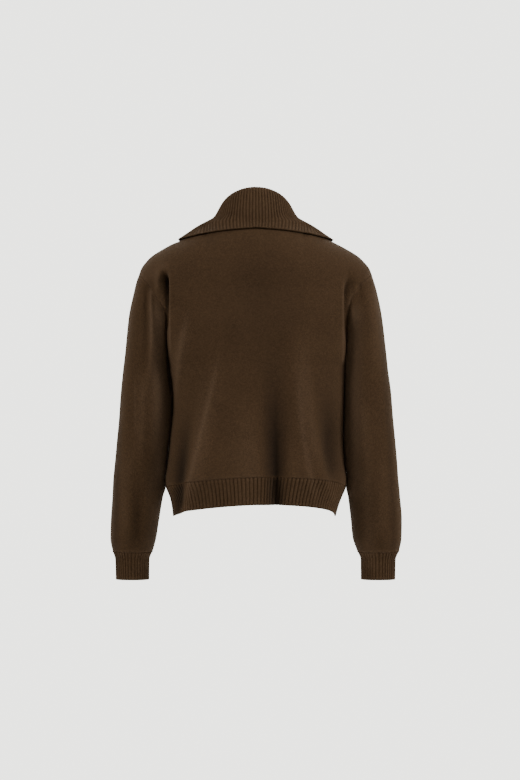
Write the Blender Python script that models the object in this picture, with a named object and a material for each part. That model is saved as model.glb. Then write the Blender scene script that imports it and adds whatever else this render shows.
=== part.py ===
"""A brown knitted sweater with a deep fold-over ribbed collar, hollow as when worn.

The garment is nine cut-and-sewn pieces: back, front, two sleeves, two cuffs, a hem rib at
the back and one at the front, and the collar. Each is a closed wall of cloth. The tables
are in millimetres. The origin is the middle of the neck base, +Z is up, the front faces -Y
and the wearer's left side is at +X.
"""
import bpy
import bmesh
import numpy as np

MM = 0.001

# Cloth and seams
JERSEY_WALL = 2.0       # plain knit, thick
RIB_WALL = 1.6          # rib knit at the bottom of a groove
RIB_RELIEF = 0.9        # how far a rib stands above its grooves
SEAM_GAP = 0.3          # between two sewn pieces

# How many points each piece is worked out at
BODY_COLUMNS = 30       # across the back, and across the front
SKIRT_ROWS = 8          # from the hem rib up to the underarm
ARMHOLE_ROWS = 8        # from the underarm up to the yoke line
YOKE_ROWS = 4           # from the yoke line over the shoulder to its seam
SLEEVE_ROWS = 15
HEM_RIBS = 58           # on each of the two hem pieces
CUFF_RIBS = 28
COLLAR_RIBS = 88
RIB_POINTS = 3          # points across a rib and its groove, on the hem and cuffs
COLLAR_RIB_POINTS = 2
CUFF_BANDS = 2          # rows of faces up a cuff
SAMPLES = 401           # along a line that is measured
SHARP_ANGLE = 50.0      # degrees, past which an edge is shaded sharp

# Heights of the main lines at the side of the body
HEM_EDGE = -533.0
HEM_SEAM = -482.0
UNDERARM = -264.0
YOKE_LINE = -118.0
YOKE_TURN = 90.0        # degrees the cloth turns from the yoke line to its top edge
CUFF_SEAM = -597.5
CUFF_EDGE = -648.0

BODY_ROUND = 0.85       # 1 is an ellipse, less is squarer
ARM_ROUND = 0.88
NECK_SHARE = 0.40       # share of the half width whose columns end at the neckline
NECK_SPACING = 1.3      # above 1, columns are closer in the middle of the neckline
NECK_CORNER = 0.125     # share of the shoulder over which its seam leaves the neck's side
YOKE_BLEND = 0.60       # share of the half width past which the shoulder turns evenly
FOLD_HOLD = 16          # the higher, the nearer a panel's folds come to its side edges
SEAM_Y = -3.0           # the shoulder seam, a little in front of the middle


def table(names, *rows):
    """Columns by name, with the rows sorted by the first column."""
    columns = np.array(sorted(rows), dtype=float).T
    return dict(zip(names.split(), columns))


# The body, a row for each section. A section is level at the side seams or at the armhole
# (side_z) and higher in the middle (mid_z). left and right are its half widths, the edge
# columns are where it meets the seam or the armhole, and sweep is the share of a quarter
# turn, in degrees, that it makes before it gets there. pressed is how far the arm presses
# the side in.
BODY = table(
    "side_z mid_z left right back_edge front_edge back front sweep pressed",
    (-533, -508.5, 149.0, 144.0, 0.0, 0.0, 107.0, -121.0, 90, 0.0),
    (-515, -491, 151.5, 149.0, 0.0, 0.0, 110.0, -123.5, 90, 0.0),
    (-499, -475, 155.0, 155.0, 0.0, 0.0, 113.5, -127.0, 90, 0.0),
    (-482, -459, 161.5, 162.0, 0.0, 0.0, 116.0, -129.0, 90, 0.3),
    (-468, -450, 163.5, 164.0, 0.0, 0.0, 115.0, -129.0, 90, 1.0),
    (-440, -430, 160.5, 161.0, 0.0, 0.0, 111.0, -127.0, 90, 2.5),
    (-390, -385, 155.5, 159.0, 0.0, 0.0, 103.0, -124.0, 90, 3.5),
    (-330, -330, 149.5, 159.5, 0.0, 0.0, 99.0, -124.0, 90, 3.5),
    (-264, -264, 150.9, 160.5, 0.0, 0.0, 100.0, -129.0, 90, 2.0),
    (-250, -247, 151.6, 161.5, 12.0, -13.0, 100.5, -130.0, 90, 1.4),
    (-225, -217, 154.0, 162.5, 24.0, -26.0, 101.5, -131.0, 90, 0.6),
    (-195, -184, 156.0, 163.5, 35.0, -38.0, 102.0, -130.0, 90, 0.0),
    (-168, -155, 160.0, 165.0, 45.0, -48.0, 100.0, -127.0, 84, 0.0),
    (-148, -134, 171.0, 169.5, 49.5, -53.0, 97.5, -122.0, 74, 0.0),
    (-133, -118, 181.0, 175.5, 47.0, -51.0, 96.2, -116.5, 66, 0.0),
    (-118, -102, 190.0, 186.0, 40.0, -43.0, 96.0, -111.0, 60, 0.0),
)
PRESSED_DEPTH = 24.0    # how far the arm presses to the front and back of its middle
PRESSED_Y = -16.0       # and where that middle lies
PRESSED_SHARE = 0.33    # share of the half width over which the pressing begins
# How steeply a section climbs from the side to the middle
CLIMB = {"left": 1.4, "right": 2.3}

# The shoulder line, seen from the back: half widths to the left and right, and height.
SHOULDER = table(
    "left right z",
    (84, 84, -10.0),
    (103, 102, -18.5),
    (120, 118, -28.5),
    (138, 136, -38.5),
    (151, 147, -44.0),
    (170, 166.5, -54.5),
    (187, 184, -65.5),
    (197.5, 195, -76.0),
    (205.5, 204, -87.0),
    (210, 209, -99.0),
)

# The arm, a row for each level: where its inner and outer sides lie, and how deep it is.
ARM = table(
    "z left_in left_out right_in right_out back front",
    (-99, 160.0, 210.0, 166.0, 209.0, 38.0, -40.0),
    (-108, 157.0, 213.7, 165.0, 212.0, 44.0, -46.0),
    (-130, 156.5, 219.3, 164.5, 218.3, 51.0, -54.0),
    (-173, 157.0, 228.2, 165.0, 227.0, 55.0, -60.0),
    (-243, 155.0, 235.7, 162.0, 235.3, 55.0, -62.0),
    (-270, 153.3, 239.0, 160.9, 238.0, 54.0, -62.5),
    (-313, 149.5, 243.0, 158.4, 243.5, 52.0, -63.0),
    (-356, 149.9, 246.5, 157.6, 246.8, 49.0, -63.0),
    (-400, 155.0, 250.2, 157.3, 250.8, 45.0, -63.0),
    (-440, 159.2, 253.8, 159.9, 254.5, 41.0, -63.5),
    (-464, 162.9, 255.8, 163.8, 256.3, 39.0, -64.0),
    (-482, 163.0, 256.7, 163.5, 258.5, 37.5, -64.0),
    (-497, 167.0, 257.6, 166.3, 260.0, 36.0, -64.0),
    (-540, 174.4, 261.3, 171.7, 263.2, 31.0, -63.0),
    (-572, 179.5, 262.4, 175.0, 263.2, 27.0, -62.0),
    (-594, 185.2, 259.2, 182.3, 259.8, 19.0, -57.0),
    (-612, 191.9, 253.9, 189.5, 253.0, 11.0, -48.0),
    (-648, 192.5, 252.9, 190.0, 252.2, 9.0, -49.0),
)

# The sleeve's top, where it follows the armhole
ARMHOLE_STEP = 0.004    # share of the seam over which its direction is measured
ARMHOLE_MIDDLE = -180.0
CAP_RISE = 0.35         # how much the top of the arm faces up
WALL_BLEND = 0.4        # how far the seam's wall leans to those of the arm and body
CAP_REACH = 48.0        # how far down the sleeve its top keeps the armhole's shape
CAP_TWIST = 0.55        # share of the sleeve over which its columns come to lie evenly
START_SHARE = 0.04      # share of the seam where a column may start just past the turn's zero
SLEEVE_CROWDING = 0.4   # above 0, rows are closer at both ends of the sleeve

# Rings of the neck and collar: half width, how far they lie back and front, their heights
# at the back, side and front, and how late they drop towards the front (1 is even).
RINGS = {
    "neckline": dict(half_width=84, back=52, front=-80,
                     back_z=-8, side_z=-10, front_z=-72, late=1.3),
    "fold": dict(half_width=63, back=54, front=-84,
                 back_z=50, side_z=8, front_z=-35, late=1.3),
    "spread": dict(half_width=77, back=64, front=-96,
                   back_z=8, side_z=3.5, front_z=-57, late=3.2),
}
NECK_REACH = (RINGS["neckline"]["back"] - RINGS["neckline"]["front"]) / 2
COLLAR_PLAY = 0.6       # how much further the collar's seam stands in than its gap
FOLD_PACE = 1.14        # columns round the fold at the back, against an even spacing
EDGE_PACE = 0.652       # and along the free edge
FOLD_RADIUS = 5.0
# How far the collar's free edge lies above the shoulder at the sides, back and front, and
# how far the middle of the part that lies there does
EDGE_LIFT = {"side": 2.5, "back": 2.4, "front": 5.0}
FALL_LIFT = {"side": 5.0, "back": 6.0, "front": 18.0}
# The collar's free edge, seen from the back and from the front.
COLLAR_EDGE = table(
    "x back_z front_z",
    (0, -20.0, -112.0),
    (50, -24.0, -106.0),
    (92, -29.5, -88.0),
    (115, -34.0, -66.0),
    (138, -38.0, -38.0),
)
# Where each line of the collar lies across the rib, as a share of its width.
COLLAR_LINES = {"seam": 0.0, "rise": 0.38, "fold": 0.43, "turn": 0.48, "spread": 0.70,
                "lie": 0.85, "edge": 1.0}
COLLAR_STOPS = (0.0, 0.20, 0.38, 0.43, 0.48, 0.59, 0.70, 0.775, 0.85, 0.925, 1.0)
# The free edge is found on the shoulders from a first guess, in degrees over the yoke.
FIRST_TURN = 60.0
TURN_STEPS = 8
EDGE_SAMPLES = 60
EVEN_SAMPLES = 5        # over how many of them the fall's middle line is evened out
LIE_DRAW = 0.195        # how much nearer the neck that line ends than the free edge
LIE_LATE = 3            # and how late along the edge it comes nearer

HEM_KNEE = 0.65         # how far up the hem rib, as a share, its middle row lies

# Soft folds. Each runs down from top_z to low_z past three places across the body, from
# upper_width to lower_width wide, out (+) or in (-) by height. appear is the share of its
# length over which it grows from nothing, and vanish the share over which it dies away.
FOLD_COLUMNS = "top_z low_z top_x mid_x low_x upper_width lower_width height appear vanish"
FOLDS = {
    "back": table(
        FOLD_COLUMNS,
        (-84, -234, 159, 157, 154, 8, 8, -21, 0.28, 0.45),
        (-86, -236, -164, -163, -162, 12, 9, -17, 0.34, 0.45),
        (-88, -170, 178, 177, 174, 9, 8, 3, 0.3, 0.5),
        (-180, -300, 118, 132, 146, 14, 12, 5, 0.4, 0.4),
        (-190, -545, -34, -37, -39, 26, 10, -15, 0.85, 0.0),
        (-215, -545, 62, 96, 126, 20, 13, 9, 0.6, 0.0),
        (-160, -520, -70, -88, -140, 18, 14, 8, 0.5, 0.2),
        (-330, -545, 128, 139, 146, 24, 15, -10, 0.6, 0.0),
        (-300, -500, -132, -134, -128, 20, 22, -8, 0.5, 0.3),
        (-300, -545, 20, 16, 10, 30, 26, 5, 0.6, 0.0),
    ),
    "front": table(
        FOLD_COLUMNS,
        (-84, -234, 159, 157, 154, 8, 8, -20, 0.28, 0.45),
        (-86, -236, -164, -163, -162, 12, 9, -17, 0.34, 0.45),
        (-205, -545, 44, 48, 52, 26, 12, -12, 0.8, 0.0),
        (-230, -545, -22, -30, -34, 24, 15, 8, 0.7, 0.0),
        (-200, -545, -66, -84, -98, 20, 12, -11, 0.7, 0.0),
        (-190, -510, 84, 100, 112, 18, 14, 7, 0.5, 0.2),
        (-320, -545, 132, 138, 142, 22, 16, -9, 0.6, 0.0),
        (-170, -310, -112, -126, -142, 14, 14, 5, 0.4, 0.4),
    ),
    "left arm back": table(
        FOLD_COLUMNS,
        (-112, -345, 187, 186, 199, 5, 8, 6, 0.15, 0.5),
        (-118, -330, 172, 170, 176, 9, 10, -3, 0.3, 0.5),
        (-240, -450, 199, 202, 206, 8, 9, 4, 0.4, 0.4),
        (-390, -590, 226, 228, 226, 12, 12, 4, 0.5, 0.3),
        (-470, -600, 205, 208, 212, 10, 10, -3, 0.5, 0.3),
    ),
    "right arm back": table(
        FOLD_COLUMNS,
        (-108, -300, 205, 211, 214, 9, 11, 4, 0.3, 0.6),
        (-300, -480, 188, 192, 200, 14, 12, 3, 0.4, 0.4),
        (-420, -590, 226, 224, 218, 12, 12, 4, 0.5, 0.3),
    ),
    "left arm front": table(
        FOLD_COLUMNS,
        (-112, -330, 190, 188, 196, 9, 10, 5, 0.2, 0.5),
        (-270, -470, 210, 206, 200, 14, 12, -5, 0.4, 0.4),
        (-400, -590, 190, 200, 214, 12, 12, 4, 0.4, 0.3),
    ),
    "right arm front": table(
        FOLD_COLUMNS,
        (-112, -310, 192, 190, 200, 10, 12, 5, 0.2, 0.5),
        (-280, -480, 206, 202, 198, 14, 12, -5, 0.4, 0.4),
        (-410, -590, 196, 206, 220, 12, 12, 4, 0.4, 0.3),
    ),
}

FACE_SIGN = {"back": 1.0, "front": -1.0}
SIDE_SIGN = {"left": 1.0, "right": -1.0}


# ---- curves and small helpers ------------------------------------------------------------

def through(keys, values, at):
    """A smooth curve through values at rising keys, which never overshoots a row."""
    keys = np.asarray(keys, dtype=float)
    values = np.asarray(values, dtype=float)
    steps = np.diff(keys).reshape((-1,) + (1,) * (values.ndim - 1))
    slopes = np.diff(values, axis=0) / steps
    before, after = slopes[:-1], slopes[1:]
    total = before + after
    shared = np.where(np.abs(total) > 1e-12, total, 1.0)
    inner = np.where(before * after > 0, 2 * before * after / shared, 0.0)
    tangents = np.concatenate((slopes[:1], inner, slopes[-1:]))
    at = np.clip(at, keys[0], keys[-1])
    low = np.clip(np.searchsorted(keys, at, side="right") - 1, 0, len(keys) - 2)
    span = keys[low + 1] - keys[low]
    t = (at - keys[low]) / span
    return ((2 * t ** 3 - 3 * t ** 2 + 1) * values[low]
            + (t ** 3 - 2 * t ** 2 + t) * span * tangents[low]
            + (3 * t ** 2 - 2 * t ** 3) * values[low + 1]
            + (t ** 3 - t ** 2) * span * tangents[low + 1])


def ease(share):
    """0 up to 0, 1 from 1 on, and soft in between."""
    share = np.clip(share, 0.0, 1.0)
    return share * share * (3.0 - 2.0 * share)


def power(value, exponent):
    """A power that keeps the sign of its base."""
    return np.sign(value) * np.abs(value) ** exponent


def unit(vectors):
    return vectors / np.maximum(np.linalg.norm(vectors, axis=-1, keepdims=True), 1e-9)


def stack(x, y, z):
    return np.stack(np.broadcast_arrays(x, y, z), axis=-1)


def relief(folds, x, z):
    """How far the folds of one table push the cloth out at a place seen from that side."""
    total = np.zeros(np.broadcast(x, z).shape)
    for row in range(len(folds["top_z"])):
        fold = {name: column[row] for name, column in folds.items()}
        along = (fold["top_z"] - z) / (fold["top_z"] - fold["low_z"])
        line = through((0.0, 0.5, 1.0), (fold["top_x"], fold["mid_x"], fold["low_x"]), along)
        width = fold["upper_width"] + (fold["lower_width"] - fold["upper_width"]) * along
        grown = ease(along / max(fold["appear"], 0.01))
        left = ease((1.0 - along) / max(fold["vanish"], 0.01))
        total = total + fold["height"] * grown * left * np.exp(-((x - line) / width) ** 2)
    return total


def surface_normals(surface, a, b, a_limits, b_limits):
    """Unit normals of surface(a, b) from small steps that stay inside its limits."""
    a_step = 1e-3 * (a_limits[1] - a_limits[0])
    b_step = 1e-3 * (b_limits[1] - b_limits[0])
    a_low, a_high = (np.clip(a + step, *a_limits) for step in (-a_step, a_step))
    b_low, b_high = (np.clip(b + step, *b_limits) for step in (-b_step, b_step))
    return unit(np.cross(surface(a_high, b) - surface(a_low, b),
                         surface(a, b_high) - surface(a, b_low)))


# ---- the body ----------------------------------------------------------------------------

def ring_point(name, turn):
    """A point of one neck ring; turn is 0 at the middle of the back and 180 at the front."""
    ring = RINGS[name]
    turn = np.radians(turn)
    middle = (ring["back"] + ring["front"]) / 2
    reach = (ring["back"] - ring["front"]) / 2
    forward = np.cos(turn)
    rise = (ring["back_z"] - ring["side_z"]) * np.maximum(forward, 0.0)
    drop = (ring["front_z"] - ring["side_z"]) * np.maximum(-forward, 0.0) ** ring["late"]
    return stack(ring["half_width"] * np.sin(turn), middle + reach * forward,
                 ring["side_z"] + rise + drop)


def top_edge(face, column):
    """The neckline and the shoulder seam, by column from -1 (right) to 1 (left)."""
    out = np.abs(column)
    neck_turn = 90.0 * np.minimum(out / NECK_SHARE, 1.0) ** NECK_SPACING
    neck = ring_point("neckline", neck_turn if face == "back" else 180.0 - neck_turn)
    along = np.clip((out - NECK_SHARE) / (1.0 - NECK_SHARE), 0.0, 1.0)
    first, last = SHOULDER["left"][0], SHOULDER["left"][-1]
    left = first + (last - first) * along
    right = through(SHOULDER["left"], SHOULDER["right"], left)
    x = np.where(column > 0, left, right)
    to_seam = ease(along / NECK_CORNER)
    neck_side = (RINGS["neckline"]["back"] + RINGS["neckline"]["front"]) / 2
    y = neck_side + (SEAM_Y - neck_side) * to_seam + FACE_SIGN[face] * SEAM_GAP / 2
    seam = stack(x, y, through(SHOULDER["left"], SHOULDER["z"], left))
    point = np.where((out < NECK_SHARE)[..., None], neck, seam)
    point[..., 0] = point[..., 0] * np.where(column < 0, -1.0, 1.0)
    return point


def body_point(face, column, height):
    """A point of the back or front. Up to the yoke line, height is the section's side
    height; past it, it counts degrees of turn over the shoulder."""
    column, height = np.broadcast_arrays(column, height)
    level = np.minimum(height, YOKE_LINE)
    row = {name: through(BODY["side_z"], BODY[name], level) for name in BODY}
    out = np.abs(column)
    sweep = np.radians(row["sweep"])
    angle = sweep * out ** (1.0 / BODY_ROUND)
    half_width = np.where(column > 0, row["left"], row["right"])
    x = np.sign(column) * half_width * (np.sin(angle) / np.sin(sweep)) ** BODY_ROUND
    end = np.maximum(np.cos(sweep), 0.0) ** BODY_ROUND
    fall = (np.maximum(np.cos(angle), 0.0) ** BODY_ROUND - end) / (1.0 - end)
    sign = FACE_SIGN[face]
    edge = sign * np.maximum(np.abs(row[face + "_edge"]), SEAM_GAP / 2)
    y = edge + (row[face] - edge) * fall
    pressed = row["pressed"] * np.exp(-((y - edge - PRESSED_Y) / PRESSED_DEPTH) ** 2)
    x = x - np.sign(column) * pressed * ease(out / PRESSED_SHARE)
    climb = np.where(column > 0, CLIMB["left"], CLIMB["right"])
    z = row["mid_z"] + (row["side_z"] - row["mid_z"]) * out ** climb

    turn = np.radians(np.clip(height - YOKE_LINE, 0.0, YOKE_TURN))
    top = top_edge(face, column)
    depth_share, height_share = np.cos(turn), 1.0 - np.sin(turn)
    at_edge = ease((out - YOKE_BLEND) / (1.0 - YOKE_BLEND))
    width_share = depth_share + (height_share - depth_share) * at_edge
    point = stack(top[..., 0] + (x - top[..., 0]) * width_share,
                  top[..., 1] + (y - top[..., 1]) * depth_share,
                  top[..., 2] + (z - top[..., 2]) * height_share)

    held = (1.0 - out ** FOLD_HOLD) * np.cos(turn)
    push = relief(FOLDS[face], point[..., 0], point[..., 2]) * held
    outward = unit(stack(np.sign(column) * np.sin(angle) ** 3, sign * np.cos(angle), 0.0))
    return point + outward * push[..., None]


def body_normals(face, column, height):
    """Outward normals, square to the side and shoulder seams where back and front meet."""
    normals = surface_normals(lambda a, b: body_point(face, a, b), column, height,
                              (-1.0, 1.0), (HEM_EDGE, YOKE_LINE + YOKE_TURN))
    normals = -FACE_SIGN[face] * normals
    side_seam = (np.abs(column) > 0.9999) & (height <= UNDERARM)
    shoulder_seam = (np.abs(column) > NECK_SHARE) & (height >= YOKE_LINE + YOKE_TURN - 0.001)
    normals[..., 1] = np.where(side_seam | shoulder_seam, 0.0, normals[..., 1])
    return unit(normals)


# ---- the arms ----------------------------------------------------------------------------

def arm_section(side, z):
    """Middle and half size of the arm at a level, on the left; the right is mirrored."""
    inner = through(ARM["z"], ARM[side + "_in"], z)
    outer = through(ARM["z"], ARM[side + "_out"], z)
    back = through(ARM["z"], ARM["back"], z)
    front = through(ARM["z"], ARM["front"], z)
    return (inner + outer) / 2, (back + front) / 2, (outer - inner) / 2, (back - front) / 2


def arm_point(side, turn, z):
    """A point of the arm's tube; turn is 0 outside, a quarter turn at the back."""
    x_mid, y_mid, half_width, half_depth = arm_section(side, z)
    x = x_mid + half_width * power(np.cos(turn), ARM_ROUND)
    y = y_mid + half_depth * power(np.sin(turn), ARM_ROUND)
    facing = np.abs(np.sin(turn))
    push = np.where(np.sin(turn) > 0, relief(FOLDS[side + " arm back"], x, z),
                    relief(FOLDS[side + " arm front"], x, z)) * facing
    return stack(SIDE_SIGN[side] * (x + push * np.cos(turn)), y + push * np.sin(turn), z)


def armhole(side, share):
    """The seam round the armhole: its points, outward direction and direction down the
    sleeve. share is 0 at the shoulder, 0.5 under the arm and 1 at the shoulder again."""
    def edge_point(along):
        along = np.clip(along, 0.0, 1.0)
        half = np.minimum(along, 1.0 - along)
        yoke_share = YOKE_ROWS / (2.0 * (YOKE_ROWS + ARMHOLE_ROWS))
        height = np.interp(half, (0.0, yoke_share, 0.5),
                           (YOKE_LINE + YOKE_TURN, YOKE_LINE, UNDERARM))
        column = np.full(np.shape(half), SIDE_SIGN[side])
        back = body_point("back", column, height)
        front = body_point("front", column, height)
        normal = np.where((along < 0.5)[..., None], body_normals("back", column, height),
                          body_normals("front", column, height))
        return np.where((along < 0.5)[..., None], back, front), normal

    share = np.asarray(share, dtype=float)
    point, body_normal = edge_point(share)
    ahead, _ = edge_point(share + ARMHOLE_STEP)
    behind, _ = edge_point(share - ARMHOLE_STEP)
    along = unit(ahead - behind)
    to_seam = np.minimum(np.minimum(share, 1.0 - share), np.abs(share - 0.5))
    along[to_seam < ARMHOLE_STEP] = (0, 1, 0)
    turn = sleeve_turn(side, point)
    arm_normal = stack(SIDE_SIGN[side] * np.cos(turn), np.sin(turn), CAP_RISE)
    ring_normal = unit(np.cross(along, (SIDE_SIGN[side], 0.0, 0.0)))
    middle = np.array([point[..., 0].mean(), 0.0, ARMHOLE_MIDDLE])
    outwards = np.sum(ring_normal * (point - middle), axis=-1, keepdims=True)
    ring_normal = ring_normal * np.where(outwards < 0, -1.0, 1.0)
    normal = unit(ring_normal + WALL_BLEND * (unit(arm_normal) + body_normal))
    down = np.cross(along, normal)
    down = unit(down * np.sign(down[..., :1]) * SIDE_SIGN[side])
    return point, normal, down


def sleeve_turn(side, point):
    """Where round the arm a point lies, in radians from 0 to a full turn."""
    x_mid, y_mid, half_width, half_depth = arm_section(side, point[..., 2])
    across = (SIDE_SIGN[side] * point[..., 0] - x_mid) / half_width
    deep = (point[..., 1] - y_mid) / half_depth
    return np.arctan2(power(deep, 1 / ARM_ROUND), power(across, 1 / ARM_ROUND))


def sleeve_point(side, share, down):
    """A point of the sleeve; share goes round it, down is 0 at the armhole, 1 at the cuff."""
    share, down = np.broadcast_arrays(share, down)
    start, _, away = armhole(side, share)
    start = start + away * SEAM_GAP
    full = 2.0 * np.pi
    start_turn = np.mod(sleeve_turn(side, start), full)
    before_zero = (share < START_SHARE) & (start_turn > np.pi)
    past_full = (share > 1.0 - START_SHARE) & (start_turn < np.pi)
    start_turn = start_turn - full * before_zero + full * past_full
    turn = start_turn + (full * share - start_turn) * ease(down / CAP_TWIST)
    z = start[..., 2] + (CUFF_SEAM - start[..., 2]) * down
    beside = start - arm_point(side, start_turn, start[..., 2])
    fading = np.exp(-((start[..., 2] - z) / CAP_REACH) ** 2)
    return arm_point(side, turn, z) + beside * fading[..., None]


def sleeve_normals(side, share, down):
    normals = surface_normals(lambda a, b: sleeve_point(side, a, b), share, down,
                              (-1.0, 2.0), (0.0, 1.0))
    return -SIDE_SIGN[side] * normals


# ---- the collar --------------------------------------------------------------------------

def collar_fall_lines(side):
    """Two lines of the collar's fall where it lies on the shoulders, from the middle of the
    back to the middle of the front: halfway down from the neck, and its free edge. Their
    points come with their share of the way along the edge."""
    sign = SIDE_SIGN[side]
    tip = COLLAR_EDGE["x"][-1]
    seam_x = through(SHOULDER["left"], SHOULDER[side], SHOULDER["left"])
    tip_share = np.interp(tip, seam_x, SHOULDER["left"] - SHOULDER["left"][0])
    tip_share = tip_share / (SHOULDER["left"][-1] - SHOULDER["left"][0])
    tip_column = NECK_SHARE + (1.0 - NECK_SHARE) * tip_share
    lines = {"lie": [], "edge": []}
    for face in ("back", "front"):
        column = sign * np.linspace(0.0, tip_column, EDGE_SAMPLES)
        top = top_edge(face, column)
        low = body_point(face, column, YOKE_LINE)
        turn = np.full(column.shape, FIRST_TURN)
        for _ in range(TURN_STEPS):
            x = np.abs(body_point(face, column, YOKE_LINE + turn)[..., 0])
            wanted = through(COLLAR_EDGE["x"], COLLAR_EDGE[face + "_z"], x)
            share = (wanted - low[..., 2]) / (top[..., 2] - low[..., 2])
            turn = np.degrees(np.arcsin(np.clip(share, 0.0, 1.0)))
        lie_column = column * (1.0 - LIE_DRAW * np.abs(column / tip_column) ** LIE_LATE)
        middle = 1.0 - np.abs(column / tip_column) ** 3
        fall_lift, edge_lift = (lift["side"] + (lift[face] - lift["side"]) * middle
                                for lift in (FALL_LIFT, EDGE_LIFT))
        for name, place, angle, lift in (
                ("lie", lie_column, (turn + YOKE_TURN) / 2, fall_lift),
                ("edge", column, turn, edge_lift)):
            point = body_point(face, place, YOKE_LINE + angle)
            normal = body_normals(face, place, YOKE_LINE + angle)
            lines[name].append(point + normal * (lift + RIB_WALL)[:, None])
    lines = {name: np.concatenate((back, front[::-1])) for name, (back, front) in lines.items()}
    steps = np.linalg.norm(np.diff(lines["edge"], axis=0), axis=1)
    lengths = np.concatenate(((0.0,), np.cumsum(steps)))
    return evened(lines["lie"]), lines["edge"], lengths / lengths[-1]


def evened(line):
    """A line from the middle of the back to the middle of the front without its corners."""
    mirrored = line * (-1.0, 1.0, 1.0)
    whole = np.concatenate((mirrored[:0:-1], line, mirrored[-2::-1]))
    near = np.arange(-3 * EVEN_SAMPLES, 3 * EVEN_SAMPLES + 1)
    weights = np.exp(-0.5 * (near / EVEN_SAMPLES) ** 2)
    weights = weights / weights.sum()
    smooth = np.stack([np.convolve(whole[:, axis], weights, mode="same") for axis in range(3)],
                      axis=-1)
    return smooth[len(line) - 1:2 * len(line) - 1]


def collar_rows(stops, ribs, points_per_rib):
    """Points of the collar's ribbed face before its ribs, a row for each stop across the
    rib. The columns run from the middle of the back round by the left."""
    half = ribs * points_per_rib // 2
    share = np.arange(half + 1) / half
    sides = []
    for side in ("left", "right"):
        mirror = np.array((SIDE_SIGN[side], 1.0, 1.0))
        neck = ring_point("neckline", 180.0 * share)
        centre = np.array((0.0, neck[:, 1].mean(), 0.0))
        drawn_in = 1.0 - (SEAM_GAP + COLLAR_PLAY + RIB_WALL) / NECK_REACH
        neck = centre + (neck - centre) * (drawn_in, drawn_in, 1.0)
        neck[:, 2] -= JERSEY_WALL / 2
        fold_turn = 180.0 * (FOLD_PACE * share + (1.0 - FOLD_PACE) * share ** 2)
        fold = ring_point("fold", fold_turn)
        outward = unit(stack(np.sin(np.radians(fold_turn)), np.cos(np.radians(fold_turn)), 0.0))
        lie, edge, lengths = collar_fall_lines(side)
        edge_share = EDGE_PACE * share + (1.0 - EDGE_PACE) * share ** 2
        lie, edge = (np.stack([np.interp(edge_share, lengths, line[:, axis])
                               for axis in range(3)], axis=-1) * mirror for line in (lie, edge))
        spread = ring_point("spread", fold_turn)
        controls = np.stack((neck, fold - outward * FOLD_RADIUS,
                             fold + np.array((0.0, 0.0, FOLD_RADIUS)),
                             fold + outward * FOLD_RADIUS, spread, lie, edge))
        lines = list(COLLAR_LINES.values())
        sides.append(np.stack([through(lines, controls, stop) for stop in stops]) * mirror)
    return np.concatenate((sides[0], sides[1][:, -2:0:-1]), axis=1)


def grid_normals(points):
    """Unit normals of a ring of columns, from its neighbours."""
    round_step = np.roll(points, -1, axis=1) - np.roll(points, 1, axis=1)
    up_step = np.gradient(points, axis=0)
    return unit(np.cross(round_step, up_step))


# ---- meshes ------------------------------------------------------------------------------

def finish_object(bm, name, material, collection):
    """Turn a working mesh in millimetres into a named object in metres."""
    bmesh.ops.recalc_face_normals(bm, faces=bm.faces)
    bmesh.ops.scale(bm, vec=(MM, MM, MM), verts=bm.verts)
    mesh = bpy.data.meshes.new(name)
    bm.to_mesh(mesh)
    bm.free()
    mesh.shade_smooth()
    mesh.set_sharp_from_angle(angle=np.radians(SHARP_ANGLE))
    mesh.materials.append(material)
    obj = bpy.data.objects.new(name, mesh)
    collection.objects.link(obj)
    return obj


def cloth_wall(name, outer, inner, closed, material, collection):
    """A wall of plain cloth: a grid sheet laid on the outer points, then extruded to the
    inner ones. A closed sheet's last column is its first."""
    rows, columns = outer.shape[:2]
    bm = bmesh.new()
    bmesh.ops.create_grid(bm, x_segments=columns - 1, y_segments=rows - 1, size=1.0)
    inner_place = bm.verts.layers.float_vector.new("inner_place")
    for vert in bm.verts:
        column = round((vert.co.x + 1.0) / 2.0 * (columns - 1))
        row = round((vert.co.y + 1.0) / 2.0 * (rows - 1))
        vert[inner_place] = inner[row, column]
        vert.co = outer[row, column]
    if closed:
        bmesh.ops.remove_doubles(bm, verts=bm.verts, dist=0.001)
    made = bmesh.ops.extrude_face_region(bm, geom=bm.faces[:], use_keep_orig=True)
    for item in made["geom"]:
        if isinstance(item, bmesh.types.BMVert):
            item.co = item[inner_place]
    return finish_object(bm, name, material, collection)


def ribbed_wall(name, ribbed, plain, closed, material, collection):
    """A wall with ribs on one face and a plain other face that has fewer columns."""
    bm = bmesh.new()
    faces = []
    grids = []
    for points in (ribbed, plain):
        grids.append([[bm.verts.new(point) for point in row] for row in points])
    for grid in grids:
        columns = len(grid[0])
        for row, above in zip(grid, grid[1:]):
            for column in range(columns if closed else columns - 1):
                after = (column + 1) % columns
                faces.append((row[column], row[after], above[after], above[column]))
    ribbed_grid, plain_grid = grids
    plain_columns = len(plain_grid[0])
    segments = plain_columns if closed else plain_columns - 1
    step = (len(ribbed_grid[0]) if closed else len(ribbed_grid[0]) - 1) // segments
    for end in (0, -1):
        for column in range(segments):
            rim = [ribbed_grid[end][(column * step + k) % len(ribbed_grid[0])]
                   for k in range(step + 1)]
            faces.append((*rim, plain_grid[end][(column + 1) % plain_columns],
                          plain_grid[end][column]))
    if not closed:
        for end in (0, -1):
            for row in range(len(ribbed_grid) - 1):
                faces.append((ribbed_grid[row][end], ribbed_grid[row + 1][end],
                              plain_grid[row + 1][end], plain_grid[row][end]))
    for face in faces:
        bm.faces.new(face)
    return finish_object(bm, name, material, collection)


def rib_profile(columns, points_per_rib):
    """How far each column stands up, from 0 in a groove to 1 on a rib."""
    return np.where(np.arange(columns) % points_per_rib == 0, 0.0, 1.0)


# ---- the pieces --------------------------------------------------------------------------

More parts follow.
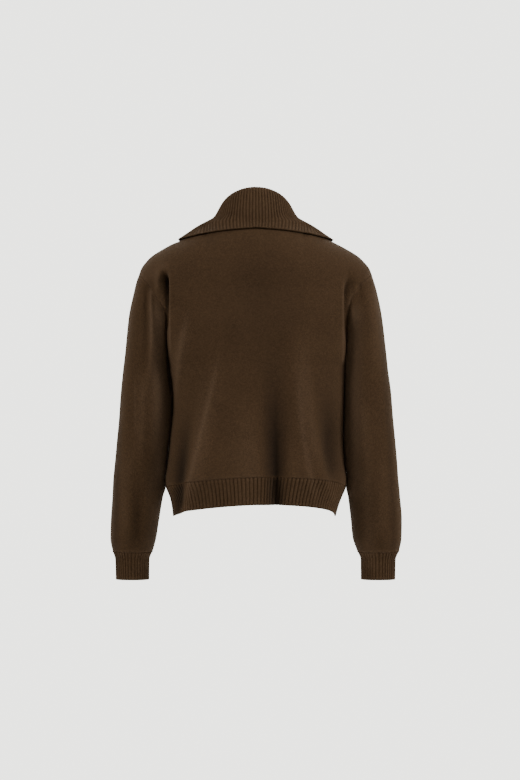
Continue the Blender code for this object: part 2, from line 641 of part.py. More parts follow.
def panel_heights():
    skirt = np.linspace(HEM_SEAM, UNDERARM, SKIRT_ROWS + 1)
    armhole_part = np.linspace(UNDERARM, YOKE_LINE, ARMHOLE_ROWS + 1)
    yoke = np.linspace(YOKE_LINE, YOKE_LINE + YOKE_TURN, YOKE_ROWS + 1)
    return np.concatenate((skirt, armhole_part[1:], yoke[1:]))


def make_panel(face, material, collection):
    heights = panel_heights()
    columns = np.linspace(-1.0, 1.0, BODY_COLUMNS + 1)
    column, height = np.meshgrid(columns, heights)
    outer = body_point(face, column, height)
    normals = body_normals(face, column, height)
    sleeve_columns = YOKE_ROWS + ARMHOLE_ROWS
    for side, edge in (("left", -1), ("right", 0)):
        share = np.arange(sleeve_columns + 1) / (2.0 * sleeve_columns)
        share = share if face == "back" else 1.0 - share
        normals[:-sleeve_columns - 2:-1, edge] = armhole(side, share)[1]
    return cloth_wall(face + "_panel", outer, outer - JERSEY_WALL * normals, False,
                      material, collection)


def make_sleeve(side, material, collection):
    columns = 2 * (YOKE_ROWS + ARMHOLE_ROWS)
    even = np.linspace(0.0, 1.0, SLEEVE_ROWS + 1)
    crowded = 0.5 - 0.5 * np.cos(np.pi * even)
    downs = even + SLEEVE_CROWDING * (crowded - even)
    share, down = np.meshgrid(np.arange(columns + 1) / columns, downs)
    outer = sleeve_point(side, share, down)
    normals = sleeve_normals(side, share, down)
    normals[0] = armhole(side, share[0])[1]
    inner = outer - JERSEY_WALL * normals
    outer[:, -1] = outer[:, 0]
    inner[:, -1] = inner[:, 0]
    return cloth_wall("sleeve_" + side, outer, inner, True, material, collection)


def make_hem_rib(face, material, collection):
    fine = np.linspace(-1.0, 1.0, SAMPLES)
    line = body_point(face, fine, np.full(fine.shape, HEM_SEAM))
    lengths = np.concatenate(((0.0,), np.cumsum(np.linalg.norm(np.diff(line, axis=0), axis=1))))
    count = HEM_RIBS * RIB_POINTS
    even = np.interp(np.linspace(0.0, lengths[-1], count + 1), lengths, fine)
    rows = np.array((HEM_EDGE, HEM_EDGE + HEM_KNEE * (HEM_SEAM - HEM_EDGE), HEM_SEAM))
    panel_columns = np.linspace(-1.0, 1.0, BODY_COLUMNS + 1)
    panel = body_point(face, *np.meshgrid(panel_columns, rows))
    base = np.array([np.stack([np.interp(even, panel_columns, row[:, axis])
                               for axis in range(3)], axis=-1) for row in panel])
    base[-1, :, 2] -= SEAM_GAP
    column, height = np.meshgrid(even, rows)
    normals = body_normals(face, column, height)
    stand = rib_profile(count + 1, RIB_POINTS) * RIB_RELIEF
    ribbed = base + normals * (stand - RIB_RELIEF)[None, :, None]
    plain = (base - normals * (RIB_RELIEF + RIB_WALL))[:, ::RIB_POINTS]
    return ribbed_wall("hem_rib_" + face, ribbed, plain, False, material, collection)


def make_cuff(side, material, collection):
    count = CUFF_RIBS * RIB_POINTS
    rows = np.linspace(CUFF_EDGE, CUFF_SEAM - SEAM_GAP, CUFF_BANDS + 1)
    turn, z = np.meshgrid(2.0 * np.pi * np.arange(count) / count, rows)
    base = arm_point(side, turn, z)
    normals = surface_normals(lambda a, b: arm_point(side, a, b), turn, z,
                              (-1.0, 8.0), (CUFF_EDGE, CUFF_SEAM))
    normals = SIDE_SIGN[side] * normals
    stand = rib_profile(count, RIB_POINTS) * RIB_RELIEF
    ribbed = base + normals * (stand - RIB_RELIEF)[None, :, None]
    plain = (base - normals * (RIB_RELIEF + RIB_WALL))[:, ::RIB_POINTS]
    return ribbed_wall("cuff_" + side, ribbed, plain, True, material, collection)


def make_collar(material, collection):
    base = collar_rows(COLLAR_STOPS, COLLAR_RIBS, COLLAR_RIB_POINTS)
    normals = grid_normals(base)
    stand = rib_profile(base.shape[1], COLLAR_RIB_POINTS) * RIB_RELIEF
    ribbed = base + normals * stand[None, :, None]
    plain = (base - normals * RIB_WALL)[:, ::2 * COLLAR_RIB_POINTS]
    return ribbed_wall("collar", ribbed, plain, True, material, collection)


def knit_material(name, colour, roughness):
    material = bpy.data.materials.new(name)
    material.use_nodes = True
    shader = material.node_tree.nodes["Principled BSDF"]
    shader.inputs["Base Color"].default_value = (*colour, 1.0)
    shader.inputs["Roughness"].default_value = roughness
    shader.inputs["Metallic"].default_value = 0.0
    material.diffuse_color = (*colour, 1.0)
    return material


def build():
    for obj in list(bpy.data.objects):
        bpy.data.objects.remove(obj)
    collection = bpy.data.collections.new("turtleneck_sweater")
    bpy.context.scene.collection.children.link(collection)
    jersey = knit_material("brown_jersey", (0.047, 0.026, 0.013), 0.85)
    rib = knit_material("brown_rib", (0.043, 0.024, 0.012), 0.88)
    for face in ("back", "front"):
        make_panel(face, jersey, collection)
        make_hem_rib(face, rib, collection)
    for side in ("left", "right"):
        make_sleeve(side, jersey, collection)
        make_cuff(side, rib, collection)
    make_collar(rib, collection)


build()
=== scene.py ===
import math

import bmesh
import bpy
import numpy as np
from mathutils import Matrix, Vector


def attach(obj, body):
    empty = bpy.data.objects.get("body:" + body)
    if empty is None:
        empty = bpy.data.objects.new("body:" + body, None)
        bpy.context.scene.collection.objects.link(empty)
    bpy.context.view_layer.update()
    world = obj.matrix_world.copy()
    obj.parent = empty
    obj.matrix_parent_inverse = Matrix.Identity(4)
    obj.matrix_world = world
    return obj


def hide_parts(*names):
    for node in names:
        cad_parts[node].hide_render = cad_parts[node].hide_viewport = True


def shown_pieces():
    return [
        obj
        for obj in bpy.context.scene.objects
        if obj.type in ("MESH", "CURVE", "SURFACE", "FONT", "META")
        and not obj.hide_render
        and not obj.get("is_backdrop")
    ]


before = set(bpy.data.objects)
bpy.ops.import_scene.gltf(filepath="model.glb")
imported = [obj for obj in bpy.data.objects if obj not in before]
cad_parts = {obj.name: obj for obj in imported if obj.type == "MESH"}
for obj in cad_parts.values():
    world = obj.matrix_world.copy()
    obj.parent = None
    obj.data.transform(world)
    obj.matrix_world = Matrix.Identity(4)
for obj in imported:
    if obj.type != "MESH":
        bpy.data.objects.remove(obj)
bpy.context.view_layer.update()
mm = 0.001
print("frame loaded:", ", ".join(sorted(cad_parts)))

# The tables are in millimetres: +Z is up, the front faces -Y, the wearer's left is +X.
faceSign = {"back": 1.0, "front": -1.0}
sideSign = {"left": 1.0, "right": -1.0}


def table(names, *rows):
    columns = np.array(sorted(rows), dtype=float).T     # rows sorted by their first column
    return dict(zip(names.split(), columns))


# Curves and vectors

def through(keys, values, at):
    # a smooth curve through values at rising keys, which never overshoots a row
    keys = np.asarray(keys, dtype=float)
    values = np.asarray(values, dtype=float)
    steps = np.diff(keys).reshape((-1,) + (1,) * (values.ndim - 1))
    slopes = np.diff(values, axis=0) / steps
    before, after = slopes[:-1], slopes[1:]
    total = before + after
    shared = np.where(np.abs(total) > 1e-12, total, 1.0)
    inner = np.where(before * after > 0, 2 * before * after / shared, 0.0)
    tangents = np.concatenate((slopes[:1], inner, slopes[-1:]))
    at = np.clip(at, keys[0], keys[-1])
    low = np.clip(np.searchsorted(keys, at, side="right") - 1, 0, len(keys) - 2)
    span = keys[low + 1] - keys[low]
    t = (at - keys[low]) / span
    return ((2 * t ** 3 - 3 * t ** 2 + 1) * values[low]
            + (t ** 3 - 2 * t ** 2 + t) * span * tangents[low]
            + (3 * t ** 2 - 2 * t ** 3) * values[low + 1]
            + (t ** 3 - t ** 2) * span * tangents[low + 1])


def ease(share):
    share = np.clip(share, 0.0, 1.0)
    return share * share * (3.0 - 2.0 * share)


def signedPower(value, exponent):
    return np.sign(value) * np.abs(value) ** exponent


def unit(vectors):
    return vectors / np.maximum(np.linalg.norm(vectors, axis=-1, keepdims=True), 1e-9)


def xyz(x, y, z):
    return np.stack(np.broadcast_arrays(x, y, z), axis=-1)


noise = dict(waves=14, shortest=0.7, longest=1.6, calming=1.5)


def smoothNoise(points, size, seed):
    # soft uneven waves about size mm long, mostly between -1 and 1, fixed by the seed
    draw = np.random.default_rng(seed)
    total = np.zeros(points.shape[:-1])
    for _ in range(noise["waves"]):
        direction = unit(draw.normal(size=3))
        length = size * draw.uniform(noise["shortest"], noise["longest"])
        wave = direction * 2.0 * np.pi / length
        total = total + np.sin(points @ wave + draw.uniform(0.0, 2.0 * np.pi))
    return total / np.sqrt(noise["waves"] / 2.0) / noise["calming"]


def relief(folds, x, z):
    # how far the folds of one table push the cloth out at a place seen from that side
    leastShare = 0.01
    total = np.zeros(np.broadcast(x, z).shape)
    for row in range(len(folds["topZ"])):
        fold = {name: column[row] for name, column in folds.items()}
        along = (fold["topZ"] - z) / (fold["topZ"] - fold["lowZ"])
        line = through((0.0, 0.5, 1.0), (fold["topX"], fold["midX"], fold["lowX"]), along)
        width = fold["topWidth"] + (fold["lowWidth"] - fold["topWidth"]) * along
        grown = ease(along / max(fold["appear"], leastShare))
        left = ease((1.0 - along) / max(fold["vanish"], leastShare))
        total = total + fold["height"] * grown * left * np.exp(-((x - line) / width) ** 2)
    return total


def surfaceNormals(surface, a, b, aLimits, bLimits):
    # square to a surface of two numbers, from a small step each way within their limits
    stepShare = 1e-3
    aStep = stepShare * (aLimits[1] - aLimits[0])
    bStep = stepShare * (bLimits[1] - bLimits[0])
    aLow, aHigh = (np.clip(a + step, *aLimits) for step in (-aStep, aStep))
    bLow, bHigh = (np.clip(b + step, *bLimits) for step in (-bStep, bStep))
    return unit(np.cross(surface(aHigh, b) - surface(aLow, b),
                         surface(a, bHigh) - surface(a, bLow)))


# Back and front

body = dict(
    columns=220,                # points across a panel
    skirtRows=96, armholeRows=84, yokeRows=28,
    wall=2.0, innerStep=2, seamGap=0.3,
    hemEdge=-533.0, hemSeam=-482.0, underarm=-264.0, yokeLine=-118.0, yokeTurn=90.0,
    roundness=0.85,             # 1 makes a section an ellipse, less makes it squarer
    neckShare=0.40,             # of a half's columns, those that end at the neckline
    neckSpacing=1.3, neckCorner=0.125,
    seamY=-3.0,                 # where the shoulder seam lies from front to back
    yokeBlend=0.60,             # from this column out, the yoke's width follows its height
    pressedDepth=24.0, pressedY=-16.0, pressedShare=0.33,   # where a sleeve presses the side
    climb={"left": 1.4, "right": 2.3},      # how late a row bends to its height at the side
    foldHold=16,                # how near the side seam a fold still moves the cloth
    sideTurn=3,                 # how late the folds' direction turns to the side
    waviness=0.7, wavinessSize=85.0, wavinessHold=4, wavinessSeed=11,
    # painted shade and highlight: the colour darkens in fold troughs and lightens on fold ridges
    shadeDepth=30.0,            # mm of relief that would turn the yarn black or twice as light
    # painted highlights along the armhole seam and the hem seam, and how far each reaches
    seamHighlight=0.22, seamReach=0.012, hemHighlight=0.3, hemReach=3.5,
    sections=table(
        "sideZ midZ left right backEdge frontEdge back front sweep pressed",
        (-533, -508.5, 149.0, 144.0, 0.0, 0.0, 107.0, -121.0, 90, 0.0),
        (-515, -491, 151.5, 149.0, 0.0, 0.0, 110.0, -123.5, 90, 0.0),
        (-499, -475, 155.0, 155.0, 0.0, 0.0, 113.5, -127.0, 90, 0.0),
        (-482, -459, 161.5, 162.0, 0.0, 0.0, 116.0, -129.0, 90, 0.3),
        (-468, -450, 163.5, 164.0, 0.0, 0.0, 115.0, -129.0, 90, 1.0),
        (-440, -430, 160.5, 161.0, 0.0, 0.0, 111.0, -127.0, 90, 2.5),
        (-390, -385, 155.5, 159.0, 0.0, 0.0, 103.0, -124.0, 90, 3.5),
        (-330, -330, 149.5, 159.5, 0.0, 0.0, 99.0, -124.0, 90, 3.5),
        (-292, -292, 151.6, 160.0, 0.0, 0.0, 99.5, -126.5, 90, 3.0),
        (-264, -264, 155.0, 160.5, 0.0, 0.0, 100.0, -129.0, 90, 2.0),
        (-250, -247, 156.6, 161.5, 12.0, -13.0, 100.5, -130.0, 90, 1.4),
        (-225, -217, 158.4, 162.5, 24.0, -26.0, 101.5, -131.0, 90, 0.6),
        (-195, -184, 159.0, 163.5, 35.0, -38.0, 102.0, -130.0, 90, 0.0),
        (-168, -155, 160.0, 165.0, 45.0, -48.0, 100.0, -127.0, 84, 0.0),
        (-148, -134, 171.0, 169.5, 49.5, -53.0, 97.5, -122.0, 74, 0.0),
        (-133, -118, 181.0, 175.5, 47.0, -51.0, 96.2, -116.5, 66, 0.0),
        (-118, -102, 190.0, 186.0, 40.0, -43.0, 96.0, -111.0, 60, 0.0),
    ),
    shoulder=table(
        "left right z",
        (84, 84, -10.0),
        (103, 102, -18.5),
        (120, 118, -28.5),
        (138, 136, -38.5),
        (151, 147, -44.0),
        (170, 166.5, -54.5),
        (187, 184, -65.5),
        (197.5, 195, -76.0),
        (205.5, 204, -87.0),
        (210, 209, -99.0),
    ),
)

# A fold runs down from topZ to lowZ past three places across, from topWidth to lowWidth wide,
# out (+) or in (-) by height; appear and vanish are the shares over which it grows and dies.
foldColumns = "topZ lowZ topX midX lowX topWidth lowWidth height appear vanish"
folds = {
    "back": table(
        foldColumns,
        (-88, -210, 162.5, 162, 161, 6.5, 5, -20, 0.22, 0.35),
        (-86, -236, -168, -167.5, -166, 8, 6, -17, 0.34, 0.45),
        (-86, -150, 175, 174, 173, 5, 5, 3.5, 0.3, 0.5),
        (-86, -250, 152.5, 152.5, 152.5, 4, 4, 1.8, 0.15, 0.4),
        (-94, -330, -157, -157, -156, 3.5, 3.5, 1.4, 0.3, 0.3),
        (-180, -300, 118, 132, 146, 14, 12, 5, 0.4, 0.4),
        (-190, -545, -32, -35, -38, 28, 11, -16, 0.75, 0.0),
        (-215, -545, 62, 96, 126, 20, 13, 9, 0.6, 0.0),
        (-160, -520, -70, -88, -140, 18, 14, 8, 0.5, 0.2),
        (-330, -545, 126, 137, 143, 24, 15, -11, 0.6, 0.2),
        (-300, -500, -132, -134, -128, 20, 22, -9, 0.5, 0.3),
        (-300, -545, 20, 16, 10, 30, 26, 5, 0.6, 0.0),
    ),
    "front": table(
        foldColumns,
        (-84, -234, 159, 157, 154, 8, 8, -20, 0.28, 0.45),
        (-86, -236, -164, -163, -162, 12, 9, -17, 0.34, 0.45),
        (-205, -545, 44, 48, 52, 26, 12, -12, 0.8, 0.0),
        (-230, -545, -22, -30, -34, 24, 15, 8, 0.7, 0.0),
        (-200, -545, -66, -84, -98, 20, 12, -11, 0.7, 0.0),
        (-190, -510, 84, 100, 112, 18, 14, 7, 0.5, 0.2),
        (-320, -545, 132, 138, 142, 22, 16, -9, 0.6, 0.0),
        (-170, -310, -112, -126, -142, 14, 14, 5, 0.4, 0.4),
    ),
    "left arm back": table(
        foldColumns,
        (-112, -345, 189, 186, 197, 4.5, 7, 3.5, 0.12, 0.5),
        (-114, -330, 196, 195, 205, 5, 7, -2.5, 0.2, 0.5),
        (-118, -330, 172, 172, 176, 9, 10, -1, 0.3, 0.5),
        (-240, -450, 199, 202, 206, 8, 9, 4, 0.4, 0.4),
        (-390, -590, 226, 228, 226, 12, 12, 4, 0.5, 0.3),
        (-470, -600, 205, 208, 212, 10, 10, -3, 0.5, 0.3),
    ),
    "right arm back": table(
        foldColumns,
        (-108, -300, 205, 211, 214, 9, 11, 4, 0.3, 0.6),
        (-300, -480, 188, 192, 200, 14, 12, 3, 0.4, 0.4),
        (-420, -590, 226, 224, 218, 12, 12, 4, 0.5, 0.3),
    ),
    "left arm front": table(
        foldColumns,
        (-112, -330, 190, 188, 196, 9, 10, 5, 0.2, 0.5),
        (-270, -470, 210, 206, 200, 14, 12, -5, 0.4, 0.4),
        (-400, -590, 190, 200, 214, 12, 12, 4, 0.4, 0.3),
    ),
    "right arm front": table(
        foldColumns,
        (-112, -310, 192, 190, 200, 10, 12, 5, 0.2, 0.5),
        (-280, -480, 206, 202, 198, 14, 12, -5, 0.4, 0.4),
        (-410, -590, 196, 206, 220, 12, 12, 4, 0.4, 0.3),
    ),
}

# Painted light and shade run down the same way, where the cloth is only painted lighter (+) or
# darker (-): along a pressed edge, in a narrow gap, and where a fold takes more light than its
# depth alone gives.
# They are set to the photo's light and stay the same in any other.
paintedLightAndShade = {
    "back": table(
        foldColumns,
        (-92, -200, 166, 166, 166, 5, 5, 0.4, 0.22, 0.35),
        (-98, -210, 157.4, 158.2, 160.6, 1.6, 1.6, -0.9, 0.12, 0.12),
        (-92, -260, 153.3, 153.3, 152, 2.0, 2.0, 0.55, 0.15, 0.3),
        (-76, -98, 165, 165, 165, 9, 9, 0.22, 0.5, 0.5),
        (-84, -135, 175, 175, 174, 2.6, 2.6, 0.25, 0.4, 0.4),
        (-88, -200, -168, -168, -167, 6, 5, 0.35, 0.3, 0.4),
        (-96, -420, -155.5, -155.5, -156, 2.0, 2.0, 0.4, 0.15, 0.2),
        (-150, -350, 117, 136, 148, 6, 5, 0.32, 0.3, 0.3),
        (-210, -545, -22, -25, -27, 13, 12, -0.2, 0.6, 0),
        (-250, -545, -35, -36, -37, 4, 5, -0.14, 0.5, 0),
        (-230, -510, -124, -128, -134, 24, 20, -0.22, 0.5, 0.35),
        (-310, -545, 113, 127, 143, 13, 9, -0.38, 0.6, 0),
        (-250, -520, -72, -84, -112, 6, 6, 0.28, 0.4, 0.2),
        (-225, -500, 60, 92, 126, 5, 4, 0.34, 0.35, 0.1),
        (-40, -300, -8, -8, -8, 62, 62, -0.15, 0.3, 0.5),
        (-30, -125, 178, 188, 192, 26, 26, 0.24, 0.3, 0.3),
    ),
    "front": table(
        foldColumns,
        (-205, -545, 36, 40, 44, 15, 13, -0.2, 0.6, 0),
        (-300, -475, 132, 134, 135, 14, 12, -0.18, 0.4, 0.3),
        (-225, -470, -30, -36, -40, 9, 8, 0.12, 0.4, 0.1),
    ),
    "left arm back": table(
        foldColumns,
        (-118, -206, 157.6, 158.4, 160.6, 2.0, 2.0, -0.8, 0.1, 0.1),
        (-196, -316, 160.6, 158.4, 151.5, 2.2, 2.2, -0.8, 0.1, 0.15),
        (-135, -500, 172, 171, 170, 12, 13, 0.9, 0.12, 0.15),
        (-440, -600, 222, 224, 224, 12, 12, -0.16, 0.3, 0.2),
        (-120, -240, 187, 185.5, 186.5, 2.6, 3.4, 0.5, 0.1, 0.4),
        (-125, -330, 179, 178, 180, 5, 6, 0.3, 0.15, 0.4),
        (-270, -395, 215, 215, 214, 2.5, 2.5, 0.2, 0.3, 0.3),
        (-430, -640, 178, 184, 200, 16, 14, 0.38, 0.2, 0.1),
        (-240, -640, 243, 250, 254, 7, 8, -0.36, 0.3, 0),
    ),
    "right arm back": table(
        foldColumns,
        (-172, -500, 163.5, 162, 161.5, 4, 4, 0.6, 0.15, 0.1),
        (-140, -520, 176, 174, 174, 13, 13, 0.7, 0.1, 0.1),
        (-440, -600, 228, 226, 222, 12, 12, -0.14, 0.3, 0.2),
        (-430, -640, 188, 196, 208, 16, 14, 0.3, 0.2, 0.1),
        (-140, -640, 222, 240, 251, 7, 7, -0.24, 0.2, 0),
    ),
    "left arm front": table(
        foldColumns,
        (-140, -490, 168, 166, 163, 6.5, 6.5, 0.3, 0.12, 0.1),
    ),
    "right arm front": table(
        foldColumns,
        (-140, -520, 170, 168, 167, 6.5, 6.5, 0.3, 0.1, 0.1),
    ),
}

# The neck ring that the collar is sewn to, the fold at its top, and where its fall spreads.
neckRings = {
    "neckline": dict(halfWidth=84, back=52, front=-80, backZ=-8, sideZ=-10, frontZ=-72, late=1.3),
    "fold": dict(halfWidth=63, back=54, front=-84, backZ=50, sideZ=8, frontZ=-35, late=1.3),
    "spread": dict(halfWidth=77, back=64, front=-96, backZ=8, sideZ=3.5, frontZ=-57, late=3.2),
}


def ringPoint(name, turn):
    ring = neckRings[name]      # turn is 0 in the middle of the back and 180 in front
    turn = np.radians(turn)
    middle = (ring["back"] + ring["front"]) / 2
    reach = (ring["back"] - ring["front"]) / 2
    forward = np.cos(turn)
    rise = (ring["backZ"] - ring["sideZ"]) * np.maximum(forward, 0.0)
    drop = (ring["frontZ"] - ring["sideZ"]) * np.maximum(-forward, 0.0) ** ring["late"]
    return xyz(ring["halfWidth"] * np.sin(turn), middle + reach * forward,
               ring["sideZ"] + rise + drop)


def topEdge(face, column):
    # the neckline and the shoulder seam, by column from -1 (right) to 1 (left)
    out = np.abs(column)
    neckTurn = 90.0 * np.minimum(out / body["neckShare"], 1.0) ** body["neckSpacing"]
    neck = ringPoint("neckline", neckTurn if face == "back" else 180.0 - neckTurn)
    along = np.clip((out - body["neckShare"]) / (1.0 - body["neckShare"]), 0.0, 1.0)
    line = body["shoulder"]
    left = line["left"][0] + (line["left"][-1] - line["left"][0]) * along
    right = through(line["left"], line["right"], left)
    x = np.where(column > 0, left, right)
    toSeam = ease(along / body["neckCorner"])
    neckSide = (neckRings["neckline"]["back"] + neckRings["neckline"]["front"]) / 2
    y = neckSide + (body["seamY"] - neckSide) * toSeam
    seam = xyz(x, y, through(line["left"], line["z"], left))
    point = np.where((out < body["neckShare"])[..., None], neck, seam)
    point[..., 0] = point[..., 0] * np.where(column < 0, -1.0, 1.0)
    return point


def bodyBase(face, column, height):
    # the cloth before its folds, the way they push it and how free it is to follow, 0 to 1
    # column runs from -1 (right) to 1 (left)
    # height is a section's side height up to the yoke line, and degrees of turn past it
    column, height = np.broadcast_arrays(column, height)
    level = np.minimum(height, body["yokeLine"])
    rows = body["sections"]
    row = {name: through(rows["sideZ"], rows[name], level) for name in rows}
    out = np.abs(column)
    roundness = body["roundness"]
    sweep = np.radians(row["sweep"])
    angle = sweep * out ** (1.0 / roundness)
    halfWidth = np.where(column > 0, row["left"], row["right"])
    x = np.sign(column) * halfWidth * (np.sin(angle) / np.sin(sweep)) ** roundness
    end = np.maximum(np.cos(sweep), 0.0) ** roundness
    fall = (np.maximum(np.cos(angle), 0.0) ** roundness - end) / (1.0 - end)
    edge = row[face + "Edge"]
    y = edge + (row[face] - edge) * fall
    toArm = (y - edge - body["pressedY"]) / body["pressedDepth"]
    pressed = row["pressed"] * np.exp(-toArm ** 2)
    x = x - np.sign(column) * pressed * ease(out / body["pressedShare"])
    climb = np.where(column > 0, body["climb"]["left"], body["climb"]["right"])
    z = row["midZ"] + (row["sideZ"] - row["midZ"]) * out ** climb

    turn = np.radians(np.clip(height - body["yokeLine"], 0.0, body["yokeTurn"]))
    top = topEdge(face, column)
    depthShare, heightShare = np.cos(turn), 1.0 - np.sin(turn)
    atEdge = ease((out - body["yokeBlend"]) / (1.0 - body["yokeBlend"]))
    widthShare = depthShare + (heightShare - depthShare) * atEdge
    point = xyz(top[..., 0] + (x - top[..., 0]) * widthShare,
                top[..., 1] + (y - top[..., 1]) * depthShare,
                top[..., 2] + (z - top[..., 2]) * heightShare)

    outward = unit(xyz(np.sign(column) * np.sin(angle) ** body["sideTurn"],
                       faceSign[face] * np.cos(angle), 0.0))
    return point, outward, (1.0 - out ** body["foldHold"]) * np.cos(turn)


def bodyPoint(face, column, height):
    point, outward, freed = bodyBase(face, column, height)
    push = relief(folds[face], point[..., 0], point[..., 2])
    waves = body["waviness"] * (1.0 - np.abs(column) ** body["wavinessHold"])
    push = push + waves * smoothNoise(point, body["wavinessSize"], body["wavinessSeed"])
    return point + outward * (push * freed)[..., None]


def bodyShade(face, column, height):
    # painted shade and highlight: darker in fold troughs and lighter on fold ridges, painted
    # highlights along the armhole and hem seams, and the painted light and shade table
    base, _, freed = bodyBase(face, column, height)
    place = bodyPoint(face, column, height)
    toSeam = (1.0 - np.abs(column)) / body["seamReach"]
    seam = np.exp(-toSeam ** 2) * ease(height - body["underarm"])
    hem = np.exp(-((height - body["hemSeam"]) / body["hemReach"]) ** 2)
    return (relief(folds[face], base[..., 0], base[..., 2]) * freed / body["shadeDepth"]
            + body["seamHighlight"] * seam + body["hemHighlight"] * hem
            + relief(paintedLightAndShade[face], place[..., 0], place[..., 2]))


def bodyNormals(face, column, height):
    # level at the side and shoulder seams, where the back and the front meet
    columnSlack, turnSlack = 1e-4, 1e-3
    top = body["yokeLine"] + body["yokeTurn"]
    normals = surfaceNormals(lambda a, b: bodyPoint(face, a, b), column, height,
                             (-1.0, 1.0), (body["hemEdge"], top))
    normals = -faceSign[face] * normals
    sideSeam = (np.abs(column) > 1.0 - columnSlack) & (height <= body["underarm"])
    shoulderSeam = (np.abs(column) > body["neckShare"]) & (height >= top - turnSlack)
    normals[..., 1] = np.where(sideSeam | shoulderSeam, 0.0, normals[..., 1])
    return unit(normals)


# Sleeves

arm = dict(
    columns=144, rows=250,
    wall=2.0, innerStep=2, roundness=0.88,
    cuffSeam=-597.5, cuffEdge=-648.0,
    yokeShare=4.0 / 24.0,       # of half the armhole, from the shoulder to the yoke line
    armholeStep=0.004, armholeMiddle=-180.0,
    capRise=0.35, wallBlend=0.4,            # how the wall leans at the armhole
    capReach=48.0,              # mm over which the sleeve leaves the armhole's line
    capTwist=0.55,              # share of its length over which its columns turn straight
    startGap=0.05, startShare=0.04,
    crowding=0.3,               # how much closer its rows are at both ends
    waviness=0.6, wavinessSize=70.0, wavinessSeed=23, capCalm=60.0, cuffCalm=20.0,
    # mm of fold relief for full painted shade, and the painted highlights along the armhole and
    # cuff seams
    shadeDepth=18.0, seamHighlight=0.3, seamReach=0.007,
    sections=table(
        "z leftIn leftOut rightIn rightOut back front",
        (-99, 160.0, 210.0, 166.0, 209.0, 38.0, -40.0),
        (-108, 157.0, 213.7, 165.0, 212.0, 44.0, -46.0),
        (-130, 156.5, 219.3, 164.5, 218.3, 51.0, -54.0),
        (-173, 158.6, 228.2, 165.0, 227.0, 55.0, -60.0),
        (-243, 158.4, 235.7, 162.0, 235.3, 55.0, -62.0),
        (-270, 154.9, 239.0, 160.0, 238.0, 54.0, -62.5),
        (-313, 148.3, 243.0, 158.3, 244.0, 52.0, -63.0),
        (-356, 148.7, 246.5, 157.6, 247.6, 49.0, -63.0),
        (-400, 154.6, 251.3, 157.2, 251.7, 45.0, -63.0),
        (-440, 159.1, 255.0, 159.8, 255.3, 41.0, -63.5),
        (-464, 162.8, 257.1, 163.5, 257.1, 39.0, -64.0),
        (-482, 162.8, 258.1, 163.2, 259.1, 37.5, -64.0),
        (-497, 167.0, 259.0, 166.3, 260.4, 36.0, -64.0),
        (-540, 174.4, 262.0, 171.7, 263.4, 31.0, -63.0),
        (-572, 179.5, 262.4, 175.0, 263.2, 27.0, -62.0),
        (-594, 185.2, 259.2, 182.3, 259.8, 19.0, -57.0),
        (-612, 191.9, 253.9, 189.5, 253.0, 11.0, -48.0),
        (-648, 192.5, 252.9, 190.0, 252.2, 9.0, -49.0),
    ),
)


def armSection(side, z):
    rows = arm["sections"]
    inner = through(rows["z"], rows[side + "In"], z)
    outer = through(rows["z"], rows[side + "Out"], z)
    back = through(rows["z"], rows["back"], z)
    front = through(rows["z"], rows["front"], z)
    return (inner + outer) / 2, (back + front) / 2, (outer - inner) / 2, (back - front) / 2


def armPoint(side, turn, z):
    # turn is 0 on the outside of the arm and a quarter turn at the back
    xMid, yMid, halfWidth, halfDepth = armSection(side, z)
    x = xMid + halfWidth * signedPower(np.cos(turn), arm["roundness"])
    y = yMid + halfDepth * signedPower(np.sin(turn), arm["roundness"])
    facing = np.abs(np.sin(turn))
    push = np.where(np.sin(turn) > 0, relief(folds[side + " arm back"], x, z),
                    relief(folds[side + " arm front"], x, z)) * facing
    point = xyz(sideSign[side] * x, y, z)
    freed = (ease((arm["armholeMiddle"] - z) / arm["capCalm"])
             * ease((z - arm["cuffSeam"]) / arm["cuffCalm"]))
    waves = arm["waviness"] * freed * (0.5 + 0.5 * np.cos(turn))
    push = push + waves * smoothNoise(point, arm["wavinessSize"], arm["wavinessSeed"])
    return xyz(sideSign[side] * (x + push * np.cos(turn)), y + push * np.sin(turn), z)


def sleeveTurn(side, point):
    xMid, yMid, halfWidth, halfDepth = armSection(side, point[..., 2])
    across = (sideSign[side] * point[..., 0] - xMid) / halfWidth
    deep = (point[..., 1] - yMid) / halfDepth
    return np.arctan2(signedPower(deep, 1 / arm["roundness"]),
                      signedPower(across, 1 / arm["roundness"]))


def armShade(side, point, down):
    # painted shade and highlight on a sleeve: its folds, the painted light and shade table, and
    # painted highlights along the armhole seam, where down is 0, and the cuff seam
    x, z = sideSign[side] * point[..., 0], point[..., 2]
    facing = np.sin(sleeveTurn(side, point))

    def shadeOf(face):
        name = side + " arm " + face
        return (relief(folds[name], x, z) * np.abs(facing) / arm["shadeDepth"]
                + relief(paintedLightAndShade[name], x, z))

    seam = arm["seamHighlight"] * (np.exp(-(down / arm["seamReach"]) ** 2)
                              + np.exp(-((z - arm["cuffSeam"]) / body["hemReach"]) ** 2))
    return np.where(facing > 0, shadeOf("back"), shadeOf("front")) + seam


